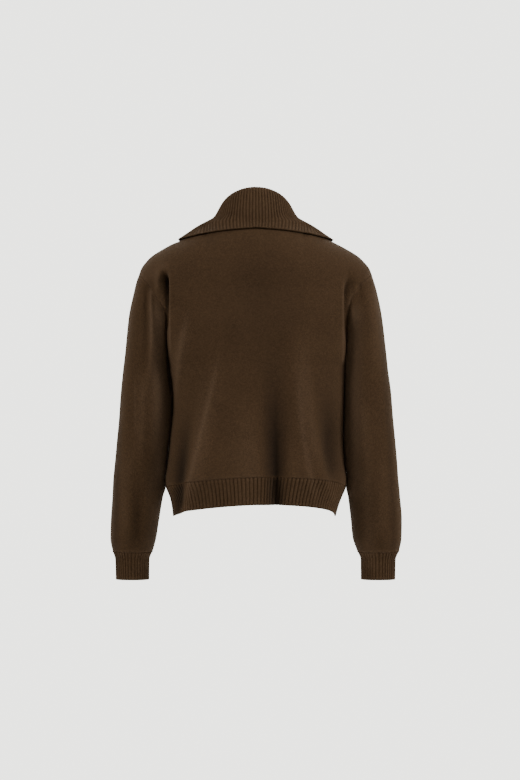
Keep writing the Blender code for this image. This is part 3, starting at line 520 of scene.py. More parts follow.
def armhole(side, share):
    # the seam round the armhole: its points, outward direction and direction down the sleeve;
    # share is 0 at the shoulder, 0.5 under the arm and 1 at the shoulder again
    def edgePoint(along):
        along = np.clip(along, 0.0, 1.0)
        half = np.minimum(along, 1.0 - along)
        height = np.interp(half, (0.0, arm["yokeShare"], 0.5),
                           (body["yokeLine"] + body["yokeTurn"], body["yokeLine"],
                            body["underarm"]))
        column = np.full(np.shape(half), sideSign[side])
        isBack = (along < 0.5)[..., None]
        point = np.where(isBack, bodyPoint("back", column, height),
                         bodyPoint("front", column, height))
        normal = np.where(isBack, bodyNormals("back", column, height),
                          bodyNormals("front", column, height))
        return point, normal

    share = np.asarray(share, dtype=float)
    step = arm["armholeStep"]
    point, bodyNormal = edgePoint(share)
    ahead, _ = edgePoint(share + step)
    behind, _ = edgePoint(share - step)
    along = unit(ahead - behind)
    toSeam = np.minimum(np.minimum(share, 1.0 - share), np.abs(share - 0.5))
    along[toSeam < step] = (0, 1, 0)
    turn = sleeveTurn(side, point)
    armNormal = xyz(sideSign[side] * np.cos(turn), np.sin(turn), arm["capRise"])
    ringNormal = unit(np.cross(along, (sideSign[side], 0.0, 0.0)))
    middle = np.array([point[..., 0].mean(), 0.0, arm["armholeMiddle"]])
    outwards = np.sum(ringNormal * (point - middle), axis=-1, keepdims=True)
    ringNormal = ringNormal * np.where(outwards < 0, -1.0, 1.0)
    normal = unit(ringNormal + arm["wallBlend"] * (unit(armNormal) + bodyNormal))
    down = np.cross(along, normal)
    down = unit(down * np.sign(down[..., :1]) * sideSign[side])
    return point, normal, down


def sleevePoint(side, share, down):
    # share goes round the sleeve, down is 0 at the armhole and 1 at the cuff
    share, down = np.broadcast_arrays(share, down)
    flatShare = share[0] if share.ndim > 1 and np.ptp(share, axis=0).max() < 1e-12 else share
    start, _, away = armhole(side, flatShare)
    start = np.broadcast_to(start + away * arm["startGap"], share.shape + (3,))
    full = 2.0 * np.pi
    startTurn = np.mod(sleeveTurn(side, start), full)
    beforeZero = (share < arm["startShare"]) & (startTurn > np.pi)
    pastFull = (share > 1.0 - arm["startShare"]) & (startTurn < np.pi)
    startTurn = startTurn - full * beforeZero + full * pastFull
    turn = startTurn + (full * share - startTurn) * ease(down / arm["capTwist"])
    z = start[..., 2] + (arm["cuffSeam"] - start[..., 2]) * down
    beside = start - armPoint(side, startTurn, start[..., 2])
    fading = np.exp(-((start[..., 2] - z) / arm["capReach"]) ** 2)
    return armPoint(side, turn, z) + beside * fading[..., None]


# Collar

collar = dict(
    ribs=96, pointsPerRib=8, rows=72,
    # where rows of points lie, from the neck seam over the fold to the free edge
    stops=(0.0, 0.06, 0.12, 0.18, 0.24, 0.30, 0.34, 0.38, 0.405, 0.43, 0.455, 0.48, 0.505, 0.53,
           0.56, 0.59, 0.62, 0.65, 0.68, 0.71, 0.74, 0.77, 0.80, 0.83, 0.86, 0.89, 0.92, 0.95,
           0.975, 1.0),
    wall=1.6, relief=0.9, innerStep=4, ribPitch=5.0,
    grooveDepth=1.6, grooveWidth=0.24, unevenness=0.25, seed=7,
    foldShare=0.6, foldReach=4.0, edgeReach=1.5,    # rows where the grooves are shallower
    # painted highlight on the ribs and painted shade in the grooves; painted sheen on the collar
    # from the neck seam over the fold, fading out down the fall
    ribHighlight=0.15, grooveShade=0.3, neckPaintedSheen=0.16, neckPaintedSheenEnd=0.62, neckPaintedSheenFade=0.15,
    foldRadius=5.0, play=0.6,
    foldPace=1.14, edgePace=0.61,           # how fast ribs go round at the back, 1 is evenly
    # how far the free edge and the middle of the fall lie above the panels
    edgeLift={"side": 2.5, "back": 2.4, "front": 5.0},
    fallLift={"side": 5.0, "back": 6.0, "front": 18.0},
    lieDraw=0.195, lieLate=3, liftLate=3, evenSamples=5,
    edge=table(
        "x backZ frontZ",
        (0, -20.0, -112.0),
        (50, -24.0, -106.0),
        (92, -29.5, -88.0),
        (115, -34.0, -66.0),
        (138, -38.0, -38.0),
    ),
    lines={"seam": 0.0, "rise": 0.38, "fold": 0.43, "turn": 0.48, "spread": 0.70, "lie": 0.85,
           "edge": 1.0},
    firstTurn=60.0, turnSteps=8,            # the search for the yoke row below the free edge
    edgeSamples=60,
)


def collarFallLines(side):
    # halfway down the fall and its free edge, from the middle of the back to the front
    sign = sideSign[side]
    shoulder = body["shoulder"]
    tip = collar["edge"]["x"][-1]
    seamX = through(shoulder["left"], shoulder[side], shoulder["left"])
    tipShare = np.interp(tip, seamX, shoulder["left"] - shoulder["left"][0])
    tipShare = tipShare / (shoulder["left"][-1] - shoulder["left"][0])
    tipColumn = body["neckShare"] + (1.0 - body["neckShare"]) * tipShare
    lifts = (collar["fallLift"], collar["edgeLift"])
    lines = {"lie": [], "edge": []}
    for face in ("back", "front"):
        column = sign * np.linspace(0.0, tipColumn, collar["edgeSamples"])
        top = topEdge(face, column)
        low = bodyPoint(face, column, body["yokeLine"])
        turn = np.full(column.shape, collar["firstTurn"])
        for _ in range(collar["turnSteps"]):
            x = np.abs(bodyPoint(face, column, body["yokeLine"] + turn)[..., 0])
            wanted = through(collar["edge"]["x"], collar["edge"][face + "Z"], x)
            share = (wanted - low[..., 2]) / (top[..., 2] - low[..., 2])
            turn = np.degrees(np.arcsin(np.clip(share, 0.0, 1.0)))
        late = np.abs(column / tipColumn) ** collar["lieLate"]
        lieColumn = column * (1.0 - collar["lieDraw"] * late)
        middle = 1.0 - np.abs(column / tipColumn) ** collar["liftLate"]
        fallLift, edgeLift = (lift["side"] + (lift[face] - lift["side"]) * middle
                              for lift in lifts)
        for name, place, angle, lift in (
                ("lie", lieColumn, (turn + body["yokeTurn"]) / 2, fallLift),
                ("edge", column, turn, edgeLift)):
            point = bodyPoint(face, place, body["yokeLine"] + angle)
            normal = bodyNormals(face, place, body["yokeLine"] + angle)
            lines[name].append(point + normal * (lift + collar["wall"])[:, None])
    lines = {name: np.concatenate((back, front[::-1])) for name, (back, front) in lines.items()}
    steps = np.linalg.norm(np.diff(lines["edge"], axis=0), axis=1)
    lengths = np.concatenate(((0.0,), np.cumsum(steps)))
    return evened(lines["lie"]), lines["edge"], lengths / lengths[-1]


def evened(line):
    # a line from the middle of the back to the middle of the front, without its corners
    mirrored = line * (-1.0, 1.0, 1.0)
    whole = np.concatenate((mirrored[:0:-1], line, mirrored[-2::-1]))
    spread = collar["evenSamples"]
    near = np.arange(-3 * spread, 3 * spread + 1)
    weights = np.exp(-0.5 * (near / spread) ** 2)
    weights = weights / weights.sum()
    smooth = np.stack([np.convolve(whole[:, axis], weights, mode="same") for axis in range(3)],
                      axis=-1)
    return smooth[len(line) - 1:2 * len(line) - 1]


def collarRows(stops, ribs, pointsPerRib):
    # the columns run from the middle of the back round by the left
    half = ribs * pointsPerRib // 2
    share = np.arange(half + 1) / half
    neckRing = neckRings["neckline"]
    neckReach = (neckRing["back"] - neckRing["front"]) / 2
    drawnIn = 1.0 - (body["seamGap"] + collar["play"] + collar["wall"]) / neckReach
    sides = []
    for side in ("left", "right"):
        mirror = np.array((sideSign[side], 1.0, 1.0))
        neck = ringPoint("neckline", 180.0 * share)
        centre = np.array((0.0, neck[:, 1].mean(), 0.0))
        neck = centre + (neck - centre) * (drawnIn, drawnIn, 1.0)
        neck[:, 2] -= body["wall"] / 2
        foldTurn = 180.0 * (collar["foldPace"] * share + (1.0 - collar["foldPace"]) * share ** 2)
        fold = ringPoint("fold", foldTurn)
        outward = unit(xyz(np.sin(np.radians(foldTurn)), np.cos(np.radians(foldTurn)), 0.0))
        lie, edge, lengths = collarFallLines(side)
        edgeShare = collar["edgePace"] * share + (1.0 - collar["edgePace"]) * share ** 2
        lie, edge = (np.stack([np.interp(edgeShare, lengths, line[:, axis])
                               for axis in range(3)], axis=-1) * mirror for line in (lie, edge))
        spread = ringPoint("spread", foldTurn)
        radius = collar["foldRadius"]
        controls = np.stack((neck, fold - outward * radius, fold + np.array((0.0, 0.0, radius)),
                             fold + outward * radius, spread, lie, edge))
        lines = list(collar["lines"].values())
        sides.append(np.stack([through(lines, controls, stop) for stop in stops]) * mirror)
    return np.concatenate((sides[0], sides[1][:, -2:0:-1]), axis=1)


def ringNormals(points):
    # square to a closed sheet, whose last column meets its first
    roundStep = np.roll(points, -1, axis=1) - np.roll(points, 1, axis=1)
    upStep = np.gradient(points, axis=0)
    return unit(np.cross(roundStep, upStep))


# Node trees, for materials and for shapes

class Value:
    # a socket whose number can be used in sums
    def __init__(self, graph, socket):
        self.graph = graph
        self.socket = socket

    def __add__(self, other):
        return self.graph.math("ADD", self, other)

    def __sub__(self, other):
        return self.graph.math("SUBTRACT", self, other)

    def __mul__(self, other):
        return self.graph.math("MULTIPLY", self, other)

    def __truediv__(self, other):
        return self.graph.math("DIVIDE", self, other)

    def __neg__(self):
        return self.graph.math("MULTIPLY", self, -1.0)

    __radd__ = __add__


class Graph:
    # a node tree, with one way to add any node
    def __init__(self, tree):
        self.tree = tree

    def add(self, kind, settings=None, inputs=None):
        node = self.tree.nodes.new(kind)
        for name, value in (settings or {}).items():
            setattr(node, name, value)
        for name, value in (inputs or {}).items():
            socket = node.inputs[name]
            value = value.socket if isinstance(value, Value) else value
            if isinstance(value, bpy.types.NodeSocket):
                self.tree.links.new(value, socket)
            else:
                socket.default_value = value
        return node

    def value(self, kind, output, settings=None, inputs=None):
        return Value(self, self.add(kind, settings, inputs).outputs[output])

    def math(self, operation, *numbers):
        return self.value("ShaderNodeMath", 0, {"operation": operation},
                          dict(enumerate(numbers)))


# Shapes made by node trees

def shapeTree(name, inputs):
    tree = bpy.data.node_groups.new(name, "GeometryNodeTree")
    tree.interface.new_socket("Geometry", in_out="INPUT", socket_type="NodeSocketGeometry")
    for title, kind in inputs:
        tree.interface.new_socket(title, in_out="INPUT", socket_type="NodeSocket" + kind)
    tree.interface.new_socket("Geometry", in_out="OUTPUT", socket_type="NodeSocketGeometry")
    graph = Graph(tree)
    given = graph.add("NodeGroupInput")
    numbers = {title: Value(graph, given.outputs[title]) for title, kind in inputs
               if kind in ("Float", "Int")}
    return tree, graph, given, numbers


def attribute(graph, name, kind):
    node = graph.add("GeometryNodeInputNamedAttribute", {"data_type": kind}, {"Name": name})
    return next(s for s in node.outputs if s.enabled and s.name == "Attribute")


def closeTree(graph, geometry, given):
    real = graph.add("GeometryNodeRealizeInstances", None, {"Geometry": geometry})
    coated = graph.add("GeometryNodeSetMaterial", None, {
        "Geometry": real.outputs["Geometry"], "Material": given.outputs["Material"]})
    end = graph.add("NodeGroupOutput")
    graph.tree.links.new(coated.outputs["Geometry"], end.inputs["Geometry"])


def makeRibTree():
    # Sinks the grooves between the ribs. The attribute rib counts ribs across the cloth and
    # outward is its normal, or nothing on the plain side.
    tree, graph, given, number = shapeTree("ribs", (
        ("Groove Depth", "Float"), ("Groove Width", "Float"), ("Unevenness", "Float"),
        ("Seed", "Int"), ("Material", "Material")))
    rib = Value(graph, attribute(graph, "rib", "FLOAT"))
    groove = graph.math("ROUND", rib)
    seedStep = 17.0
    across = graph.math("ABSOLUTE", rib - groove) / number["Groove Width"]
    drawn = graph.value("ShaderNodeTexWhiteNoise", "Value", {"noise_dimensions": "1D"},
                        {"W": groove + number["Seed"] * seedStep})
    depth = number["Groove Depth"] * ((drawn - 0.5) * number["Unevenness"] + 1.0)
    sunk = -(depth * graph.math("EXPONENT", -(across * across)))
    offset = graph.add("ShaderNodeVectorMath", {"operation": "SCALE"}, {
        0: attribute(graph, "outward", "FLOAT_VECTOR"), "Scale": sunk})
    moved = graph.add("GeometryNodeSetPosition", None, {
        "Geometry": given.outputs["Geometry"], "Offset": offset.outputs["Vector"]})
    closeTree(graph, moved.outputs["Geometry"], given)
    return tree


def makeStitchTree():
    # Lays slanted stitches along lines, square to the attribute outward.
    tree, graph, given, number = shapeTree("stitches", (
        ("Spacing", "Float"), ("Length", "Float"), ("Thickness", "Float"), ("Slant", "Float"),
        ("Unevenness", "Float"), ("Seed", "Int"), ("Material", "Material")))
    lines = graph.add("GeometryNodeMeshToCurve", None, {"Mesh": given.outputs["Geometry"]})
    points = graph.add("GeometryNodeResampleCurve", {"mode": "LENGTH"}, {
        "Curve": lines.outputs["Curve"], "Length": number["Spacing"]})
    ball = graph.add("GeometryNodeMeshUVSphere", None, {"Segments": 6, "Rings": 4, "Radius": 0.5})
    sizes = graph.add("ShaderNodeCombineXYZ", None, {
        "X": number["Length"], "Y": number["Thickness"], "Z": number["Thickness"]})
    stitch = graph.add("GeometryNodeTransform", None, {
        "Geometry": ball.outputs["Mesh"], "Scale": sizes.outputs["Vector"]})
    alongLine = graph.add("FunctionNodeAlignRotationToVector", {"axis": "X"}, {
        "Vector": graph.add("GeometryNodeInputTangent").outputs["Tangent"]})
    squared = graph.add("FunctionNodeAlignRotationToVector", {"axis": "Z", "pivot_axis": "X"}, {
        "Rotation": alongLine.outputs["Rotation"],
        "Vector": attribute(graph, "outward", "FLOAT_VECTOR")})
    drawn = graph.value("FunctionNodeRandomValue", 1, {"data_type": "FLOAT"}, {
        "Seed": number["Seed"]})
    turned = number["Slant"] * ((drawn - 0.5) * number["Unevenness"] + 1.0)
    slant = graph.add("ShaderNodeCombineXYZ", None, {"Z": turned})
    tilted = graph.add("FunctionNodeRotateRotation", {"rotation_space": "LOCAL"}, {
        "Rotation": squared.outputs["Rotation"], "Rotate By": slant.outputs["Vector"]})
    laid = graph.add("GeometryNodeInstanceOnPoints", None, {
        "Points": points.outputs["Curve"], "Instance": stitch.outputs["Geometry"],
        "Rotation": tilted.outputs["Rotation"]})
    closeTree(graph, laid.outputs["Instances"], given)
    return tree


def shaped(source, tree, settings):
    # the plain mesh that a node tree makes of a mesh
    holder = bpy.data.objects.new("working", source)
    bpy.context.scene.collection.objects.link(holder)
    modifier = holder.modifiers.new("shape", "NODES")
    modifier.node_group = tree
    for item in tree.interface.items_tree:
        if item.in_out == "INPUT" and item.name in settings:
            modifier[item.identifier] = settings[item.name]
    evaluated = bpy.context.evaluated_depsgraph_get()
    mesh = bpy.data.meshes.new_from_object(holder.evaluated_get(evaluated),
                                           preserve_all_data_layers=True, depsgraph=evaluated)
    holder.modifiers.remove(modifier)
    bpy.data.objects.remove(holder)
    return mesh


ribTree = makeRibTree()
stitchTree = makeStitchTree()


# Yarn and knit materials

yarn = dict(
    darker=(0.0240, 0.0128, 0.0058),
    lighter=(0.0476, 0.0265, 0.0129),
    roughness=0.86, specular=0.05, sheen=0.08, sheenRoughness=0.5,
    sheenTint=(0.50, 0.34, 0.21),
    wale=1.9, course=1.35,      # mm, a stitch's width and height
    legSlant=1.3, strandShare=0.55, legShare=0.45,      # how its two legs lie and rise
    stitchDepth=0.35, bumpStrength=0.7, stitchShade=0.5,
    heather=0.55,               # how much single stitches differ in colour
    fibreScale=900.0, fibreDetail=3.0, fibreRoughness=0.7,
    fibreTone=1.1, fibreBump=0.8, fibreShine=0.12,
    patchScale=14.0, patchDetail=2.0, patchTone=0.35,
    # painted sheen: greyer colour added where the painted shade is lighter, on ridges
    paintedRidgeSheen=(0.0, 0.0035, 0.0055),    # the greyer light that fibres catch on a ridge
    # the limits of the painted shade and highlight on the colour
    darkest=0.25, lightest=2.3,         # the limits of what folds and tones do to the colour
)


def knitMaterial(name, brightness):
    # V-shaped stitches by the cloth's own UV map, which is in metres across and along it
    material = bpy.data.materials.new(name)
    material.use_nodes = True
    graph = Graph(material.node_tree)
    shader = material.node_tree.nodes["Principled BSDF"]
    shader.inputs["Sheen Weight"].default_value = yarn["sheen"]
    shader.inputs["Sheen Roughness"].default_value = yarn["sheenRoughness"]
    shader.inputs["Sheen Tint"].default_value = (*yarn["sheenTint"], 1.0)
    shader.inputs["Specular IOR Level"].default_value = yarn["specular"]

    place = graph.add("ShaderNodeUVMap", {"uv_map": "knit"}).outputs["UV"]
    parts = graph.add("ShaderNodeSeparateXYZ", None, {"Vector": place})
    across = Value(graph, parts.outputs["X"]) / (yarn["wale"] * mm)
    along = Value(graph, parts.outputs["Y"]) / (yarn["course"] * mm)
    fromMiddle = graph.math("ABSOLUTE", graph.math("FRACT", across) - 0.5)   # 0 to 0.5
    slanted = along + fromMiddle * yarn["legSlant"]
    strand = graph.math("SINE", graph.math("FRACT", slanted) * math.pi)
    leg = graph.math("SINE", fromMiddle * (2.0 * math.pi))      # 0 between the legs
    height = strand * yarn["strandShare"] + leg * yarn["legShare"]

    objectPlace = graph.add("ShaderNodeTexCoord").outputs["Object"]
    fibre = graph.value("ShaderNodeTexNoise", "Fac", None, {
        "Vector": objectPlace, "Scale": yarn["fibreScale"], "Detail": yarn["fibreDetail"],
        "Roughness": yarn["fibreRoughness"]}) - 0.5
    patch = graph.value("ShaderNodeTexNoise", "Fac", None, {
        "Vector": objectPlace, "Scale": yarn["patchScale"],
        "Detail": yarn["patchDetail"]}) - 0.5
    stitchPlace = graph.add("ShaderNodeCombineXYZ", None, {
        "X": graph.math("FLOOR", across), "Y": graph.math("FLOOR", slanted)})
    single = graph.value("ShaderNodeTexWhiteNoise", "Value", {"noise_dimensions": "2D"}, {
        "Vector": stitchPlace.outputs["Vector"]}) - 0.5

    tone = fibre * yarn["fibreTone"] + patch * yarn["patchTone"] + single * yarn["heather"]
    mixed = graph.add("ShaderNodeMix", {"data_type": "RGBA"},
                      {"Factor": graph.value("ShaderNodeClamp", 0, None, {0: tone + 0.5})})
    for socket in mixed.inputs:
        if socket.type == "RGBA":
            colour = yarn[{"A": "darker", "B": "lighter"}[socket.name]]
            socket.default_value = (*[channel * brightness for channel in colour], 1.0)
    mixedColour = next(s for s in mixed.outputs if s.type == "RGBA")
    # the shade attribute is painted shade and highlight, which scales the yarn's colour; its
    # lighter part also adds a greyer painted sheen
    paintedLightness = Value(graph, graph.add("ShaderNodeAttribute", {
        "attribute_name": "shade"}).outputs["Fac"])
    paintedFactor = graph.value("ShaderNodeClamp", 0, None, {
        0: paintedLightness + 1.0, 1: yarn["darkest"], 2: yarn["lightest"]})
    # painted shade in the hollows between the stitch legs
    stitched = height * yarn["stitchShade"] + (1.0 - yarn["stitchShade"])
    scaled = graph.add("ShaderNodeVectorMath", {"operation": "SCALE"},
                       {0: mixedColour, "Scale": stitched * paintedFactor})
    highlightShare = graph.value("ShaderNodeClamp", 0, None, {0: paintedLightness})
    paintedSheen = graph.add("ShaderNodeVectorMath", {"operation": "SCALE"},
                     {0: yarn["paintedRidgeSheen"], "Scale": highlightShare})
    shaded = graph.add("ShaderNodeVectorMath", {"operation": "ADD"}, {
        0: scaled.outputs["Vector"], 1: paintedSheen.outputs["Vector"]})
    material.node_tree.links.new(shaded.outputs["Vector"], shader.inputs["Base Color"])
    rough = yarn["roughness"] + fibre * yarn["fibreShine"]
    material.node_tree.links.new(rough.socket, shader.inputs["Roughness"])

    bump = graph.add("ShaderNodeBump", None, {
        "Strength": yarn["bumpStrength"], "Distance": yarn["stitchDepth"] * mm,
        "Height": height + fibre * yarn["fibreBump"]})
    material.node_tree.links.new(bump.outputs["Normal"], shader.inputs["Normal"])
    return material


jersey = knitMaterial("brown_jersey_knit", brightness=1.0)
# The rib, seam and mark yarns are the same yarn painted lighter: painted highlight where the ribs,
# seams and raised fashioning marks catch light.
ribKnit = knitMaterial("brown_rib_knit", brightness=1.07)
seamYarn = knitMaterial("brown_seam_yarn", brightness=1.1)
markYarn = knitMaterial("brown_mark_yarn", brightness=1.6)
print("materials made")


# Walls of cloth

def clothWall(name, outer, inner, closed, step):
    # An outer and an inner sheet joined at their edges. The inner one has a point for every
    # step-th point of the outer one each way. A closed sheet's last column meets its first.
    rows, columns = outer.shape[:2]
    spans = columns if closed else columns - 1
    innerPick = inner[::step, ::step]
    if (rows - 1) % step or spans % step:
        raise ValueError(name + ": rows or columns don't divide by the step")
    innerRows, innerColumns = innerPick.shape[:2]
    points = np.concatenate((outer.reshape(-1, 3), innerPick.reshape(-1, 3))) * mm
    outerAt = np.arange(rows * columns).reshape(rows, columns)
    innerAt = rows * columns + np.arange(innerRows * innerColumns).reshape(innerRows, innerColumns)

    def quads(index, isClosed):
        after = np.roll(index, -1, axis=1) if isClosed else index[:, 1:]
        here = index if isClosed else index[:, :-1]
        return np.stack((here[:-1], after[:-1], after[1:], here[1:]), axis=-1).reshape(-1, 4)

    faces = quads(outerAt, closed).tolist()
    faces += quads(innerAt, closed)[:, ::-1].tolist()
    for end, flip in ((0, True), (-1, False)):
        for column in range(innerColumns if closed else innerColumns - 1):
            rim = [int(outerAt[end][(column * step + k) % columns]) for k in range(step + 1)]
            rim += [int(innerAt[end][(column + 1) % innerColumns]), int(innerAt[end][column])]
            faces.append(rim[::-1] if flip else rim)
    if not closed:
        for end, flip in ((0, False), (-1, True)):
            for row in range(innerRows - 1):
                rim = [int(outerAt[row * step + k][end]) for k in range(step + 1)]
                rim += [int(innerAt[row + 1][end]), int(innerAt[row][end])]
                faces.append(rim[::-1] if flip else rim)
    mesh = bpy.data.meshes.new(name)
    mesh.from_pydata(points.tolist(), [], faces)
    working = bmesh.new()
    working.from_mesh(mesh)
    bmesh.ops.recalc_face_normals(working, faces=working.faces)
    working.to_mesh(mesh)
    working.free()
    return mesh


def lengthsAlong(points, axis):
    # how far each point lies along the cloth, in mm
    steps = np.linalg.norm(np.diff(points, axis=axis), axis=-1)
    total = np.cumsum(steps, axis=axis)
    zero = np.zeros_like(np.take(total, [0], axis=axis))
    return np.concatenate((zero, total), axis=axis)


def lengthRound(points):
    # how long each row of a closed sheet is, with a number for every point
    total = np.linalg.norm(np.roll(points, -1, axis=1) - points, axis=-1).sum(axis=1)
    return np.broadcast_to(total[:, None], points.shape[:2])


def addKnitMap(mesh, across, along, around=None):
    # across and along are one number for each point, in mm, and so is the length around a
    # tube, which the face that closes it needs
    layer = mesh.uv_layers.new(name="knit")
    index = np.zeros(len(mesh.loops), dtype=np.int32)
    mesh.loops.foreach_get("vertex_index", index)
    across = across[index]
    if around is not None:
        starts = np.zeros(len(mesh.polygons), dtype=np.int32)
        mesh.polygons.foreach_get("loop_start", starts)
        sizes = np.diff(np.append(starts, len(index)))
        highest = np.repeat(np.maximum.reduceat(across, starts), sizes)
        full = around[index]
        across = across + full * (highest - across > full / 2)
    pairs = np.stack((across, along[index]), axis=-1) * mm
    layer.data.foreach_set("uv", pairs.astype(np.float32).ravel())


def addShade(mesh, shades):
    # the painted shade and highlight at each point: lighter on its ridges and darker in its folds
    mesh.attributes.new("shade", "FLOAT", "POINT").data.foreach_set(
        "value", shades.astype(np.float32))


def finishPiece(name, mesh, material, nodes):
    mesh.materials.clear()
    mesh.materials.append(material)
    mesh.shade_smooth()
    piece = bpy.data.objects.new(name, mesh)
    bpy.context.scene.collection.objects.link(piece)
    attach(piece, "root")
    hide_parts(*nodes)
    return piece


def bothWalls(values, step):
    # a value for each point of the outer sheet, then for those of the inner one
    inner = values[::step, ::step]
    return np.concatenate((values.ravel(), inner.ravel()))


def makePanel(face):
    heights = np.concatenate((
        np.linspace(body["hemSeam"], body["underarm"], body["skirtRows"] + 1),
        np.linspace(body["underarm"], body["yokeLine"], body["armholeRows"] + 1)[1:],
        np.linspace(body["yokeLine"], body["yokeLine"] + body["yokeTurn"],
                    body["yokeRows"] + 1)[1:]))
    column, height = np.meshgrid(np.linspace(-1.0, 1.0, body["columns"] + 1), heights)
    outer = bodyPoint(face, column, height)
    normals = bodyNormals(face, column, height)
    sleeveRows = body["yokeRows"] + body["armholeRows"]
    half = np.concatenate((np.linspace(0.0, arm["yokeShare"], body["yokeRows"] + 1),
                           np.linspace(arm["yokeShare"], 0.5, body["armholeRows"] + 1)[1:]))
    share = half if face == "back" else 1.0 - half
    for side, edge in (("left", -1), ("right", 0)):
        normals[:-sleeveRows - 2:-1, edge] = armhole(side, share)[1]
    step = body["innerStep"]
    mesh = clothWall(face, outer, outer - body["wall"] * normals, False, step)
    middle = body["columns"] // 2
    across = lengthsAlong(outer, 1)
    across = across - across[:, [middle]]
    along = lengthsAlong(outer, 0)
    along = np.broadcast_to(along[:, [middle]], across.shape)
    addKnitMap(mesh, bothWalls(across, step), bothWalls(along, step))
    addShade(mesh, bothWalls(bodyShade(face, column, height), step))
    return finishPiece(face + "_knit", mesh, jersey, [face + "_panel"])


def makeSleeve(side):
    even = np.linspace(0.0, 1.0, arm["rows"] + 1)
    crowded = 0.5 - 0.5 * np.cos(np.pi * even)
    downs = even + arm["crowding"] * (crowded - even)
    columns = arm["columns"]
    share, down = np.meshgrid(np.arange(columns) / columns, downs)
    outer = sleevePoint(side, share, down)
    normals = sideSign[side] * ringNormals(outer)
    normals[0] = armhole(side, share[0])[1]
    if np.sum(normals[1] * normals[0]) < 0:
        normals[1:] = -normals[1:]
    step = arm["innerStep"]
    mesh = clothWall("sleeve", outer, outer - arm["wall"] * normals, True, step)
    across = lengthsAlong(outer, 1)
    along = lengthsAlong(outer, 0)
    along = np.broadcast_to(along.mean(axis=1, keepdims=True), across.shape)
    addKnitMap(mesh, bothWalls(across, step), bothWalls(-along, step),
               bothWalls(lengthRound(outer), step))
    addShade(mesh, bothWalls(armShade(side, outer, down), step))
    return finishPiece("sleeve_knit_" + side, mesh, jersey, ["sleeve_" + side])


def nearRow(rows, row, reach):
    # 1 at a row and fading to 0 away from it, shaped to multiply a sheet of normals
    return np.exp(-((np.arange(rows) - row) / reach) ** 2)[:, None, None]


def addRibs(mesh, ribShare, normals, shades, sizes):
    # ribShare counts the ribs across, for each point of the outer sheet
    step = sizes["innerStep"]
    rib = np.broadcast_to(ribShare, normals.shape[:2])
    innerCount = rib[::step, ::step].size
    groove = np.exp(-((rib - np.round(rib)) / sizes["grooveWidth"]) ** 2)
    # painted highlight on the ribs and painted shade in the grooves between them
    ribPaintedLight = sizes["ribHighlight"] - (sizes["ribHighlight"] + sizes["grooveShade"]) * groove
    plain = shades[::step, ::step]
    addShade(mesh, np.concatenate(((shades + ribPaintedLight).ravel(), plain.ravel())))
    shares = np.concatenate((rib.ravel(), np.full(innerCount, 0.5)))
    outward = np.concatenate((normals.reshape(-1, 3), np.zeros((innerCount, 3))))
    mesh.attributes.new("rib", "FLOAT", "POINT").data.foreach_set(
        "value", shares.astype(np.float32))
    mesh.attributes.new("outward", "FLOAT_VECTOR", "POINT").data.foreach_set(
        "vector", outward.astype(np.float32).ravel())
    return shaped(mesh, ribTree, {
        "Groove Depth": sizes["grooveDepth"] * mm, "Groove Width": sizes["grooveWidth"],
        "Unevenness": sizes["unevenness"], "Seed": sizes["seed"], "Material": ribKnit})


hemRib = dict(
    ribs=66, pointsPerRib=8, rows=16, samples=801,
    wall=1.6, relief=0.9, innerStep=4,
    grooveDepth=1.7, grooveWidth=0.15, unevenness=0.3, seed=3,
    # painted highlight on the ribs and painted shade in the grooves
    ribHighlight=0.06, grooveShade=0.25, edgeShare=0.5, edgeReach=1.5,
)


def makeHemRib(face):
    fine = np.linspace(-1.0, 1.0, hemRib["samples"])
    line = bodyPoint(face, fine, np.full(fine.shape, body["hemSeam"]))
    lengths = np.concatenate(((0.0,), np.cumsum(np.linalg.norm(np.diff(line, axis=0), axis=1))))
    count = hemRib["ribs"] * hemRib["pointsPerRib"]
    even = np.interp(np.linspace(0.0, lengths[-1], count + 1), lengths, fine)
    rows = np.linspace(body["hemEdge"], body["hemSeam"], hemRib["rows"] + 1)
    column, height = np.meshgrid(even, rows)
    base = bodyPoint(face, column, height)
    normals = bodyNormals(face, column, height)
    ribShare = np.arange(count + 1) / hemRib["pointsPerRib"]
    inner = base - normals * (hemRib["relief"] + hemRib["wall"])
    step = hemRib["innerStep"]
    mesh = clothWall(face, base, inner, False, step)
    addKnitMap(mesh, bothWalls(lengthsAlong(base, 1), step),
               bothWalls(lengthsAlong(base, 0), step))
    nearEdge = nearRow(len(rows), 0, hemRib["edgeReach"])
    mesh = addRibs(mesh, ribShare, normals * (1.0 - hemRib["edgeShare"] * nearEdge),
                   bodyShade(face, column, height), hemRib)
    return finishPiece("hem_rib_knit_" + face, mesh, ribKnit, ["hem_rib_" + face])


cuff = dict(
    ribs=40, pointsPerRib=8, rows=16,
    wall=1.6, relief=0.9, innerStep=4,
    grooveDepth=1.4, grooveWidth=0.17, unevenness=0.3, seed=5,
    # painted highlight on the ribs and painted shade in the grooves
    ribHighlight=0.06, grooveShade=0.2, edgeShare=0.5, edgeReach=1.5,
    turnLimits=(-1.0, 8.0),     # wider than a full turn, so that no step is cut short
)


